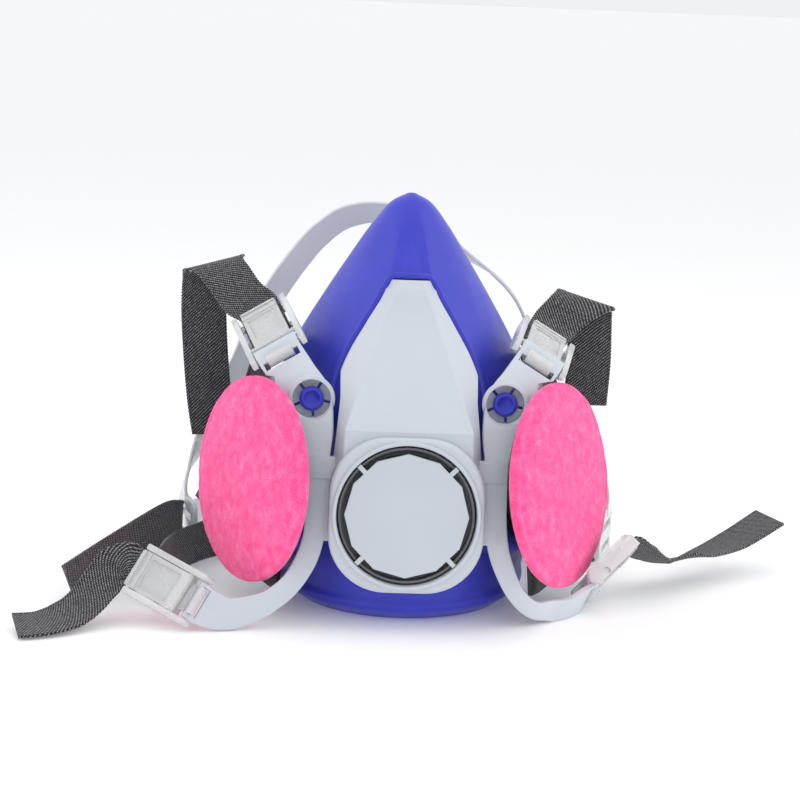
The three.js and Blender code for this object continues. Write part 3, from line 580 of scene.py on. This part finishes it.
def face_solid(grow, start, end, rows, columns, behind, detailed=False):
    """Closed body of the skin, with a rounded rim and a back wall `behind` the rim."""
    ports = [(port_place(s).inverted(), port_place(s)) for s in (-1, 1)]
    ts = start + (end - start) * np.linspace(0, 1, rows)
    rings = []
    for t in ts:
        section = face_at(t)
        z, half, _, rim, _ = section
        points = [face_point(section, a, grow) for a in np.linspace(-math.pi / 2, math.pi / 2, columns)]
        if detailed:
            points = [face_detail(p, section, ports) for p in points]
        wide = max(half + grow, 0.05)
        round_ = min(3.2, wide * 0.5)
        turns = np.linspace(0.3, math.pi / 2, 5)
        side = [(wide - round_ * (1 - math.cos(b)), rim + behind * math.sin(b)) for b in turns]
        back = side + [(-x, y) for x, y in side[::-1]]
        points += [np.array([x, y, z]) for x, y in back]
        rings.append(points)
    return loft(rings)


def face_detail(p, section, ports):
    z, half, front, rim, power = section
    # a flat runs up the bridge of the nose from the top of the panel
    fade = smooth(z, 78, 85) * (1 - smooth(z, 96, 111))
    wide = 7.6 - 0.17 * max(z - 84, 0)
    if fade > 0 and abs(p[0]) < wide * 1.6 and p[1] < (front + rim) / 2:
        at = min(wide / half, 0.999) ** (1 / power)
        chord = rim - (rim - front) * math.sqrt(1 - at**2) ** power
        dip = min(max(chord - p[1], 0), 1.7)
        p = p + np.array([0, fade * dip * (1 - smooth(abs(p[0]), wide, wide * 1.25)), 0])
    # bosses for the breathing ports
    for inverse, place in ports:
        q = inverse @ Vector(p)
        r = math.hypot(q.x, q.y)
        top = 6 - 15 * smooth(r, 22.5, 33)
        if r < 36 and q.z < top and q.z > -30:
            p = np.array(place @ Vector((q.x, q.y, top)))
    # rolled lip round the chin, turned under at the floor
    level = (MASK @ Vector(p)).z
    if level < 14 and p[1] < rim - 2:
        out = unit((p[0] / half**2, (p[1] - rim) / max(rim - front, 1) ** 2, 0))
        swell = 1.7 * math.exp(-(((level - 5.4) / 2.6) ** 2))
        tuck = 4.6 * (1 - smooth(level, -1, 5.2)) ** 1.4
        p = p + out * (swell - tuck)
    return p


def below_floor():
    corners = [(-200, -200), (200, -200), (200, 200), (-200, 200)]
    return moved(extruded(corners, -80, 0.02), MASK.inverted())


def seal_opening(grow, low, high):
    outline = []
    for k in range(64):
        a = 2 * math.pi * k / 64
        z = 23 + (50 + grow) * math.sin(a)
        t = min(max((z + 46) / 162.6, 0), 1)
        wide = min(face_at(t)[1] - 11.5, 44) + grow
        outline.append((wide * np.sign(math.cos(a)) * abs(math.cos(a)) ** 0.75, z))
    return moved(extruded(outline, low, high), Matrix.Rotation(math.pi / 2, 4, "X"))


def make_facepiece():
    skin = face_solid(0, 0, 1, 210, 190, 1.5, detailed=True)
    cavity = face_solid(-2.6, 0.115, 0.93, 60, 70, -2.2)
    valve_bore = moved(turned([(0, -40), (20.5, -40), (20.5, -5), (0, -5)]), FACING)
    cuts = [cavity, seal_opening(0, -120, -58), valve_bore]
    for side in (-1, 1):
        cuts.append(moved(turned([(0, -24), (16.4, -24), (16.4, 14), (0, 14)], 72), port_place(side)))
    cuts.append(below_floor())
    obj = shaped("facepiece_silicone", skin, cut=cuts)
    obj.data.transform(scaled(MASK))
    return dressed(obj, "mask", BLUE, ["facepiece"], 50)


def scaled(matrix):
    """The same placing for a mesh that is already in metres."""
    return Matrix.Scale(MM, 4) @ matrix @ Matrix.Scale(1 / MM, 4)


def skirt_half(z):
    rows = np.array([(r[0], r[2], 0) for r in PANEL], float)
    for k in range(len(rows) - 1):
        if z <= rows[k + 1][0]:
            w = (z - rows[k][0]) / (rows[k + 1][0] - rows[k][0])
            return through(rows, (k + w) / (len(rows) - 1))[1]
    return rows[-1][1]


def make_lip():
    """Narrow raised edge of the silicone round the panel."""
    path = [(skirt_half(z) + 0.9, z) for z in np.linspace(31, 82.6, 40)] + [(7.4, 84.2), (6.2, 85)]
    path = path + [(x, 85) for x in np.linspace(4.5, -4.5, 6)] + [(-x, z) for x, z in path[::-1]]
    outline = rounded([(-1.25, -1.5), (1.25, -1.5), (1.25, 0.95), (-1.25, 0.95)], 0.9, 4)
    points = [np.array([x, skin_y(x, z), z]) for x, z in path]
    rings = []
    for i, p in enumerate(points):
        along = unit(points[min(i + 1, len(points) - 1)] - points[max(i - 1, 0)])
        out = unit(np.cross(along, unit(np.cross((0, -1, 0.25), along))))
        out = out if out[1] < 0 else -out
        side = unit(np.cross(along, out))
        rings.append(p + outline[:, :1] * side + outline[:, 1:] * out)
    obj = mesh_object("facepiece_panel_lip", moved(loft(rings), MASK))
    return dressed(obj, "mask", BLUE)


# ---- front shell and exhalation valve ------------------------------------------------------------


def panel_rows():
    rows = []
    heights = [r[0] for r in PANEL]
    for z in np.concatenate([np.linspace(6, 80, 60), np.linspace(80.5, 83.6, 6)]):
        face, front, back = (np.interp(z, heights, [r[k] for r in PANEL]) for k in (1, 3, 4))
        rows.append((z, face, skirt_half(z), front, back))
    return rows


def panel_solid():
    rings = []
    for z, f, s, front, back in panel_rows():
        corners = [(-f, front), (f, front), (s, back - 3), (s, back + 14), (-s, back + 14), (-s, back - 3)]
        ring = rounded(corners, [0.9, 0.9, 1.4, 0.2, 0.2, 1.4], 5)
        rings.append([(x, y, z) for x, y in ring])
    return loft(rings)


def rounded_square(half, radius, steps=14):
    flat = half - radius
    out = []
    for k, (cx, cy) in enumerate([(flat, flat), (-flat, flat), (-flat, -flat), (flat, -flat)]):
        for a in np.linspace(k * math.pi / 2, (k + 1) * math.pi / 2, steps):
            out.append((cx + radius * math.cos(a), cy + radius * math.sin(a)))
    return np.array(out)


def arm_groove(side):
    """Deep groove between the panel and an arm, narrowing down to the band that bridges them."""
    corners = [(27.2, 16), (30, 16), (30, 51), (25.2, 51), (25.0, 40), (26.0, 28)]
    return moved(extruded([(side * x, z) for x, z in corners[::side]], -45, 5), FACING)


def make_front_shell():
    housing = extruded(rounded_square(28, 21), -30, -1.1, 1.8, 6)
    rim = [(20, -6), (26.8, -6), (26.8, -0.5), (26.5, -0.1), (26.1, 0), (25.9, 0), (25.4, -0.3), (20, -0.6)]
    bore = turned([(0, 2), (26.4, 2), (25.4, -0.5), (25.2, -1.8), (25.2, -32), (0, -32)], 128)
    skin = face_solid(0.15, 0, 1, 60, 60, 40)
    solid = shaped("front_shell_moulding", moved(housing, FACING),
                   add=[moved(turned(rim, 128), FACING), panel_solid()],
                   cut=[moved(bore, FACING), skin, arm_groove(-1), arm_groove(1)])
    solid.data.transform(scaled(MASK))
    return dressed(solid, "mask", GREY, ["front_shell"], 24)


def make_valve():
    # two glossy rings with a deep groove between them
    outer = [(20.8, -8.6), (24.6, -8.6), (24.6, -3.3), (24.4, -3), (23.7, -3.2), (23.5, -3.5), (23.45, -7)]
    inner = [(22.95, -7), (22.9, -4.5), (22.7, -4.2), (22, -4.5), (21.8, -4.8), (21.7, -7.6), (20.8, -7.6)]
    obj = mesh_object("valve_ring_moulding", moved(turned(outer + inner, 128), MASK @ FACING))
    dressed(obj, "mask", RING, ["valve_ring"], 32)
    corners = [(22.4 * math.cos(a), 22.4 * math.sin(a)) for a in np.arange(12) * math.pi / 6]
    cover = extruded(corners, -2.6, -1.0, 0.35, 4)
    legs = []
    for k in range(4):
        quarter = Matrix.Rotation(math.pi / 4 + k * math.pi / 2, 4, "Z")
        leg = rounded([(-0.85, -0.75), (0.85, -0.75), (0.85, 0.75), (-0.85, 0.75)], 0.25, 3)
        long = [[(20.4 + 4.5 * w, y, -1.75 + z * 0.8) for y, z in leg] for w in (0, 1)]
        legs.append(moved(loft(long), quarter))
    obj = shaped("valve_cover_moulding", cover, add=legs)
    obj.data.transform(scaled(MASK @ FACING))
    return dressed(obj, "mask", GREY, ["valve_cover"], 30)


# ---- harness arms --------------------------------------------------------------------------------


def arm_outline(width):
    return slab(width / 2, 1.2, 0.62, 4)


def arm_bridge(side):
    """The web that joins an arm to the valve housing, and the low band across its top."""
    inner, back = 24, 0.9
    web = [(19, 14.4), (12, 13.4), (0, 12.4), (-6, 11.9), (-11, 11.4)]
    low_band = [(11.6, 13.4), (15.5, 14.05), (19.4, 14.9)]
    bodies = []
    for rows, outer, rise in ((web, 33, 1.05), (low_band, 36.4, 1.85)):
        section = ((inner, -rise), (outer, -rise), (outer, back), (inner, back))
        bodies.append(loft([[(side * x, y + d, z) for x, d in section] for z, y in rows]))
    return bodies


def make_arm(name, side):
    stations = [(at, across, width) for at, _, across, width in arm_stations(side)]
    body = loft(strip_rings(stations, arm_outline, 8))
    spot = Matrix.Translation((side * STUD[0], STUD[1], STUD[2])) @ FACING
    boss = [(0, -6), (7.6, -6), (8.5, -1.3), (8.6, -0.9), (8.6, 0.2), (8.45, 0.5), (8.1, 0.62), (0, 0.62)]
    seat = [(0, -4.6), (6.7, -4.6), (6.9, -4.3), (7, 0.3), (7.6, 1), (7.6, 4), (0, 4)]
    cuts = [
        moved(turned(seat, 72), spot),
        moved(turned([(0, -12), (3.1, -12), (3.1, 4), (0, 4)], 40), spot),
    ]
    for k in range(5):
        a = Matrix.Rotation(math.radians(60 + k * 72), 4, "Z")
        cuts.append(moved(box((2.6, -0.55, -9), (6.8, 0.55, -3)), spot @ a))
    for level, (half, reach) in ARM_ENDS.items():
        end = end_place(side, level == "upper")
        cuts.append(moved(box((-half, -4, -END_BAR - SLOT_HEIGHT), (half, 4, -END_BAR)), end))
        cuts.append(moved(box((-13, -4, reach), (13, 4, 14)), end))
    cuts.append(below_floor())
    # room for the filter, and for the housing that the web meets
    cuts.append(moved(turned([(0, 18.2), (38.5, 18.2), (38.5, 40), (0, 40)], 96), port_place(side)))
    cuts.append(moved(extruded(rounded_square(28.1, 21.1), -40, 4), FACING))
    obj = shaped(f"{name}_moulding", body, add=[moved(turned(boss, 72), spot), *arm_bridge(side)], cut=cuts)
    obj.data.transform(scaled(MASK))
    softened(obj, 0.22, 2, 50)
    # the arms wear the shell's grey painted lighter: painted light for their sideways-facing surfaces
    return dressed(obj, "mask", ARM_GREY_PAINTED_LIGHTER, [name], 35)


def make_stud(name, side):
    profile = [(0, -7.4), (2.7, -7.4), (2.7, -3.4), (3.4, -3.1), (4.2, -2.9), (4.5, -2.4), (4.55, -1.2)]
    profile += [(4.3, -0.4), (3.8, 0.05), (3.3, 0.15), (2.9, -0.05), (2.4, -0.75), (1.5, -1.15), (0, -1.25)]
    place = facing_at(side * STUD[0], STUD[1], STUD[2])
    obj = mesh_object(f"{name}_silicone", moved(turned(profile, 48), place))
    return dressed(obj, "mask", BLUE, [name], 60)


# ---- felt filters --------------------------------------------------------------------------------


def make_filter(name, side, seed):
    """Two layers of felt welded at the edge, fuller in the middle, with a soft uneven surface."""
    rings, angles = [], np.linspace(0, 2 * math.pi, 180, endpoint=False)
    profile = [(36.6, 20.6), (37.5, 20.9), (37.95, 21.5), (38, 22.4), (37.9, 23.2), (37.4, 23.8)]
    profile += [(36.6, 24.1), (35.7, 24.15), (34.9, 24.05), (34.3, 24.3), (33.4, 24.75), (32, 25.1)]
    profile += [(r, 25.1 + 1.3 * (1 - (r / 32) ** 2)) for r in np.linspace(31, 1.2, 34)]
    for r, z in profile:
        ring = []
        for a in angles:
            p = Vector((r * math.cos(a), r * math.sin(a), seed * 50.0))
            soft = 0.32 * noise.noise(p * 0.11) + 0.16 * noise.noise(p * 0.35) if z > 23.5 else 0
            edge = 0.12 * noise.noise(p * 0.5) if r > 33 else 0
            ring.append(((r + edge) * math.cos(a), (r + edge) * math.sin(a), z + soft))
        rings.append(ring)
    obj = mesh_object(f"{name}_felt", moved(loft(rings), MASK @ port_place(side)))
    return dressed(obj, f"filter_{'left' if side < 0 else 'right'}", FELT, [name], 60)


# ---- buckles, in the frame of an arm's end -------------------------------------------------------


# half the gap between the walls, how far the frame stands off the pivot, the walls' length past the
# pivot, and the corner where the back of each wall starts
BUCKLES = {"upper": (9.1, 2.8, 2, (0.8, 6.5)), "lower": (7.7, 0, 3.8, (2.4, -1))}


def cross_bar(low, high, radius):
    """A bar along X with rounded edges, given by its two corners."""
    (x0, y0, z0), (x1, y1, z1) = low, high
    ring = rounded([(y0, z0), (y1, z0), (y1, z1), (y0, z1)], radius, 3)
    return loft([[(x, y, z) for y, z in ring] for x in (x0, x1)])


def side_wall(x, reach, tail, heel):
    end = 24 + reach
    outline = [(-1.4, end), (-1.4, 2 - tail), (heel[0], -tail), (5.4, heel[1]), (5.4, end - 3), (3.4, end)]
    ring = rounded(outline, [0.5, 1.9, 1.0, 1.2, 0.6, 0.8], 5)
    wide = [(0, 0.35), (0.12, 0.12), (0.35, 0), (1.85, 0), (2.08, 0.12), (2.2, 0.35)]
    centre = ring.mean(axis=0)
    rows = []
    for dx, inset in wide:
        shrunk = centre + (ring - centre) * (1 - inset / 9)
        rows.append([(x + dx, y, z) for y, z in shrunk])
    return loft(rows)


def hook():
    arc = [(3.5 * math.cos(a), 3.5 * math.sin(a)) for a in np.radians(np.linspace(20, -155, 22))]
    arc += [(2.15 * math.cos(a), 2.15 * math.sin(a)) for a in np.radians(np.linspace(-155, 20, 22))]
    return loft([[(x, y, z) for y, z in arc] for x in (-5.2, 5.2)])


def pin_place(reach):
    return Matrix.Translation((0, 0.2, 4.6 + reach)) @ Matrix.Rotation(math.pi / 2, 4, "Y")


def rod(radius, half):
    """A round bar along Z, half its length to each side."""
    return turned([(0, -half), (radius, -half), (radius, half), (0, half)], 24)


def make_buckle(level, name, side):
    """The frame that hangs on an arm's end bar."""
    inner, reach, tail, heel = BUCKLES[level]
    key = f"{level}_{name}"
    outer = inner + 0.4
    bars = [
        side_wall(-inner - 2.2, reach, tail, heel),
        cross_bar((-outer, 3.6, 2.6 + reach), (outer, 5.2, 6.2 + reach), 0.35),
        cross_bar((-outer, 3.2, 10.4 + reach), (outer, 4.8, 13 + reach), 0.35),
        cross_bar((-outer, 3.6, 20.6 + reach), (outer, 5.2, 23.6 + reach), 0.35),
        hook(),
        cross_bar((-5.2, 2.1, 0.9), (5.2, 3.4, 3.4 + reach), 0.2),
        cross_bar((-5.2, 2.1, 2.2 + reach), (5.2, 5.2, 3.4 + reach), 0.2),
    ]
    pin_hole = moved(rod(1.25, 20), pin_place(reach))
    wall = side_wall(inner, reach, tail, heel)
    obj = shaped(f"buckle_frame_{key}_moulding", wall, add=bars, cut=[pin_hole])
    obj.data.transform(scaled(MASK @ buckle_place(level, side)))
    return dressed(obj, f"buckle_{key}", CLEAR, [f"buckle_frame_{key}"], 35)


def make_lever(level, name, side):
    """The hinged plate that grips the webbing, with its pin and two ribs for the thumb."""
    inner, reach, _, _ = BUCKLES[level]
    key = f"{level}_{name}"
    pin = moved(rod(1.05, inner + 1.7), pin_place(reach))
    barrel = moved(rod(1.2, 7.3), pin_place(reach))
    plate = rounded([(-7.3, 4.6), (7.3, 4.6), (7.3, 24.5), (-7.3, 24.5)], 1.0, 4) + (0, reach)
    rows = [[(x, 0.6, z) for x, z in plate]] + [[(x, y, z) for x, z in plate] for y in (-0.75, -1.0)]
    ribs = [cross_bar((-6.9, -1.75, z), (6.9, -0.8, z + 0.95), 0.3) for z in (20.5 + reach, 22.9 + reach)]
    window = cross_bar((-5.6, -2.2, 7.6 + reach), (5.6, -0.4, 19.4 + reach), 0.05)
    obj = shaped(f"buckle_lever_{key}_moulding", loft(rows), add=[pin, barrel] + ribs, cut=[window])
    obj.data.transform(scaled(MASK @ buckle_place(level, side)))
    return dressed(obj, f"lever_{key}", CLEAR, [f"buckle_lever_{key}"], 35)


# ---- webbing -------------------------------------------------------------------------------------
TAILS = {
    "upper_left": [
        (-63.4, 34, 110.6, 0.84, 0.02, 0.54), (-69.5, 39, 117.7, 0.9, 0, 0.44),
        (-74.5, 44, 121.8, 0.96, 0, 0.29), (-77.8, 48, 117.5, 0.98, 0, 0.2),
        (-79, 49.5, 106.9, 1, 0.05, 0.08), (-78.4, 50, 90.5, 1, 0.1, 0.02),
        (-76.4, 50, 68.6, 1, 0.1, 0.01), (-73.9, 49.5, 53, 1, 0.1, 0),
    ],
    "upper_right": [
        (57.6, 38.6, 104, 0.87, -0.04, -0.5), (64, 42.6, 109.4, 0.91, 0, -0.42),
        (69.8, 46.6, 112, 0.96, 0, -0.3), (71.3, 50.4, 108.4, 0.97, 0, -0.22),
        (72, 51, 99, 1, 0.04, -0.08), (72.4, 51, 84.9, 1, 0.05, -0.02), (71.6, 50, 69.4, 1, 0.05, 0),
    ],
    "lower_left": [
        (-100.4, -21.5, 20.4, 0.47, 0.37, 0.8), (-104.4, -21.6, 18.8, 0.42, 0.42, 0.8),
        (-108.8, -24.6, 14, 0.25, 0.62, 0.74), (-113.2, -29.2, 8.8, -0.05, 0.8, 0.6),
        (-117.8, -33.4, 5.4, -0.28, 0.86, 0.42), (-123, -37.6, 3.8, -0.36, 0.88, 0.3),
        (-129.4, -41, 2.9, -0.24, 0.94, 0.23), (-136.8, -43.4, 2.9, -0.1, 0.97, 0.24),
    ],
    "lower_right": [
        (91.8, 22.6, 18.2, -0.36, 0.76, -0.5), (100.7, 32, 12.2, -0.45, 0.84, -0.24),
        (112.6, 40.6, 10.6, -0.46, 0.76, -0.46), (121.8, 47.4, 10.6, -0.52, 0.84, -0.16),
        (136, 58, 13.5, -0.6, 0.79, 0.07), (153.3, 70, 20.6, -0.78, 0.6, 0.04),
    ],
}
LEGS = {
    "upper_strap_left": [
        (-51.4, 26.8, 97.4, 0.86, 0.06, 0.5), (-51.4, 43, 94, 0.75, 0.5, 0.3),
        (-56, 64, 80, 0.6, 0.75, 0.1), (-65, 73, 58, 0.4, 0.9, 0.1), (-74.4, 74, 36, 0, 1, 0.1),
        (-80.4, 72, 20, -0.3, 0.95, 0),
    ],
    "upper_strap_right": [
        (48.6, 28, 91.6, 0.86, -0.06, -0.5), (51.4, 46, 86, 0.75, -0.5, -0.3),
        (57, 63, 74, 0.6, -0.75, -0.1), (65, 72, 58, 0.4, -0.9, -0.1), (74.4, 74, 36, 0, -1, -0.1),
        (80.2, 72, 20.4, -0.3, -0.95, 0),
    ],
    "neck_strap": [
        (-91.6, -8, 12, 0.1, 0.2, 0.95), (-92, 12, 9, 0.1, 0.1, 0.98), (-88, 36, 8, 0, 0.3, 0.95),
        (-72, 62, 8, 0.3, 0.4, 0.85), (-40, 78, 7.8, 0.1, 0.4, 0.9), (0, 84, 7.8, 0, 0.4, 0.9),
        (40, 80, 8, -0.1, 0.4, 0.9), (62, 68, 10, -0.3, 0.2, 0.9), (70, 50, 13, -0.3, -0.1, 0.9),
        (73.6, 36, 17, -0.2, -0.4, 0.85),
    ],
    "upper_strap_end_left": [
        (-88.2, 73.3, 11.4, 0, 0, 1), (-88.6, 65, 13.6, -0.06, 0, 1), (-92, 54, 15.6, -0.22, 0, 0.97),
        (-100.6, 36, 13.6, -0.42, 0, 0.9), (-112.4, 12, 10.5, -0.42, -0.08, 0.9),
        (-122.3, -9.9, 7.9, -0.43, -0.15, 0.89),
    ],
}


# length of a stitch along the edges, its depth as a share of the half width, and the edge that it covers
STITCH, STITCH_DEPTH, EDGE = 1.3, 0.014, 0.8


def webbing_outline(width):
    """Section of the woven elastic: thin, with a thicker bound edge on each side."""
    half = width / 2
    upper = [(half, 0), (half - 0.15, 0.42), (half - 0.5, 0.62), (half - 1.0, 0.62), (half - 1.35, 0.46)]
    upper += [(x, 0.5) for x in np.linspace(half - 2, -half + 2, 9)]
    upper += [(-x, y) for x, y in upper[4::-1]]
    return np.array(upper + [(x, -y) for x, y in upper[-2:0:-1]])


def make_strap(name, rows, body, node, width=16, oblique=False):
    stations = [(np.array(r[:3], float), unit(r[3:6]), r[6] if len(r) > 6 else width) for r in rows]
    points = [s[0] for s in stations]
    fine = [through(points, t) for t in np.linspace(0, 1, 400)]
    length = sum(np.linalg.norm(b - a) for a, b in zip(fine, fine[1:]))
    steps = max(8, round(length / 0.32 / (len(stations) - 1)))
    rings = strip_rings(stations, webbing_outline, steps, oblique)
    middle = rings.mean(axis=1)
    along = np.concatenate([[0], np.cumsum(np.linalg.norm(np.diff(middle, axis=0), axis=1))])
    # stitched loops along both edges
    half = np.abs(webbing_outline(width)[:, 0])
    for i, ring in enumerate(rings):
        pull = 1 + STITCH_DEPTH * math.sin(along[i] * 2 * math.pi / STITCH) * (half > width / 2 - EDGE)
        rings[i] = middle[i] + (ring - middle[i]) * pull[:, None]
        rings[i][:, 2] = np.maximum(rings[i][:, 2], 0.05)
    obj = mesh_object(name, loft(rings))
    outline = webbing_outline(width)
    with_uv(obj, len(outline), list(outline[:, 0] + np.sign(outline[:, 1]) * 0.1), list(along))
    return dressed(obj, body, WEBBING, [node], 70)


def make_webbing():
    for key, rows in TAILS.items():
        level, name = key.split("_")
        place = MASK @ buckle_place(level, SIDES[name])
        across = place.to_3x3() @ Vector((1, 0, 0))
        reach = BUCKLES[level][1]
        inside, width = {"upper": (16.4, 17.5), "lower": (14, 16)}[level]
        inner = [place @ Vector((0, y, z + reach)) for y, z in ((2.1, 8), (2.1, 16), (1.9, 25))]
        start = [(*p, *across, inside) for p in inner]
        make_strap(f"webbing_tail_{key}", start + rows, f"buckle_{key}", f"strap_tail_{key}",
                   width, level == "upper")
    for node, rows in LEGS.items():
        make_strap(f"webbing_{node}", rows, "mask", node)


# ---- head cradle ---------------------------------------------------------------------------------
CROWN = [
    (-88.2, 79, 17, -0.3, 0.95, 0), (-86.4, 82, 30, 0, 1, 0), (-76.6, 86, 52, 0.75, 0.6, -0.2),
    (-65.6, 87, 75, 0.7, 0.6, -0.4), (-59.6, 87.6, 91, 0.65, 0.58, -0.45),
    (-52.6, 88, 105, 0.6, 0.55, -0.55), (-44, 88.6, 118, 0.5, 0.55, -0.63),
    (-35.4, 89, 128.4, 0.4, 0.55, -0.7), (-24, 88.6, 136.6, 0.2, 0.6, -0.77),
    (-8, 84, 139, 0, 0.7, -0.7), (10, 77.6, 132.6, -0.1, 0.85, -0.5),
    (25, 74, 123.5, -0.1, 0.95, -0.2), (36.4, 72, 116, 0, 1, 0), (44.4, 71, 107, 0, 1, 0),
    (50.6, 72, 94, 0, 1, 0.1), (60, 76, 70, -0.1, 1, 0.1), (76.6, 82, 46, -0.2, 0.95, 0.1),
    (86.4, 82, 30, 0, 1, 0), (88.2, 79, 17, 0.3, 0.95, 0),
]
REAR = [
    (-88.4, 81, 8, 0, 0, 1), (-86, 104, 5.9, 0, 0.1, 1), (-60, 131, 5.9, 0, 0.1, 1),
    (-30, 143, 5.9, 0, 0.1, 1), (0, 147, 5.9, 0, 0.1, 1), (30, 143, 5.9, 0, 0.1, 1),
    (60, 131, 5.9, 0, 0.1, 1), (86, 104, 5.9, 0, 0.1, 1), (88.4, 81, 8, 0, 0, 1),
]


def band(rows):
    stations = [(np.array(r[:3], float), unit(r[3:6]), 12) for r in rows]
    return loft(strip_rings(stations, lambda width: slab(width / 2, 0.7, 0.5, 4), 6))


def cradle_plate(side):
    outline = rounded([(-13, -10), (13, -10), (13, 11), (-13, 11)], 5, 6)
    along, across = Vector((side * 0.3, 0.954, 0)), Vector((0.954, -side * 0.3, 0))
    place = basis(along, Vector((0, 0, 1)), across, (side * 84.6, 74, 10))
    low, high = (0, 2) if side > 0 else (-2, 0)
    slots = [moved(box((-8.8, z, low - 1), (8.8, z + 3, high + 1)), place) for z in (-5.6, 2.8)]
    return moved(extruded(outline, low, high, 0.4), place), slots


def make_cradle():
    left, left_slots = cradle_plate(-1)
    right, right_slots = cradle_plate(1)
    corners = [(-200, -200), (200, -200), (200, 200), (-200, 200)]
    obj = shaped("head_cradle_band", band(CROWN), add=[band(REAR), left, right],
                 cut=left_slots + right_slots + [extruded(corners, -80, 0.02)])
    return dressed(obj, "mask", MILKY, ["head_cradle"], 40)


# ---- the whole -----------------------------------------------------------------------------------
make_facepiece()
make_lip()
make_front_shell()
make_valve()
for seed, (name, side) in enumerate(SIDES.items()):
    make_arm(f"harness_arm_{name}", side)
    make_stud(f"stud_{name}", side)
    make_filter(f"filter_pad_{name}", side, seed)
    for level in BUCKLES:
        make_buckle(level, name, side)
        make_lever(level, name, side)
make_webbing()
make_cradle()

# the inner pieces show their CAD meshes
PLAIN = {"port_body": BLACK, "filter_mount": BLACK, "filter_gasket": RUBBER, "inhalation_flap": FLAP,
         "exhalation_flap": FLAP, "valve_seat": GREY}
for node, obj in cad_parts.items():
    for start, material in PLAIN.items():
        if node.startswith(start):
            for slot in obj.material_slots:
                slot.material = material
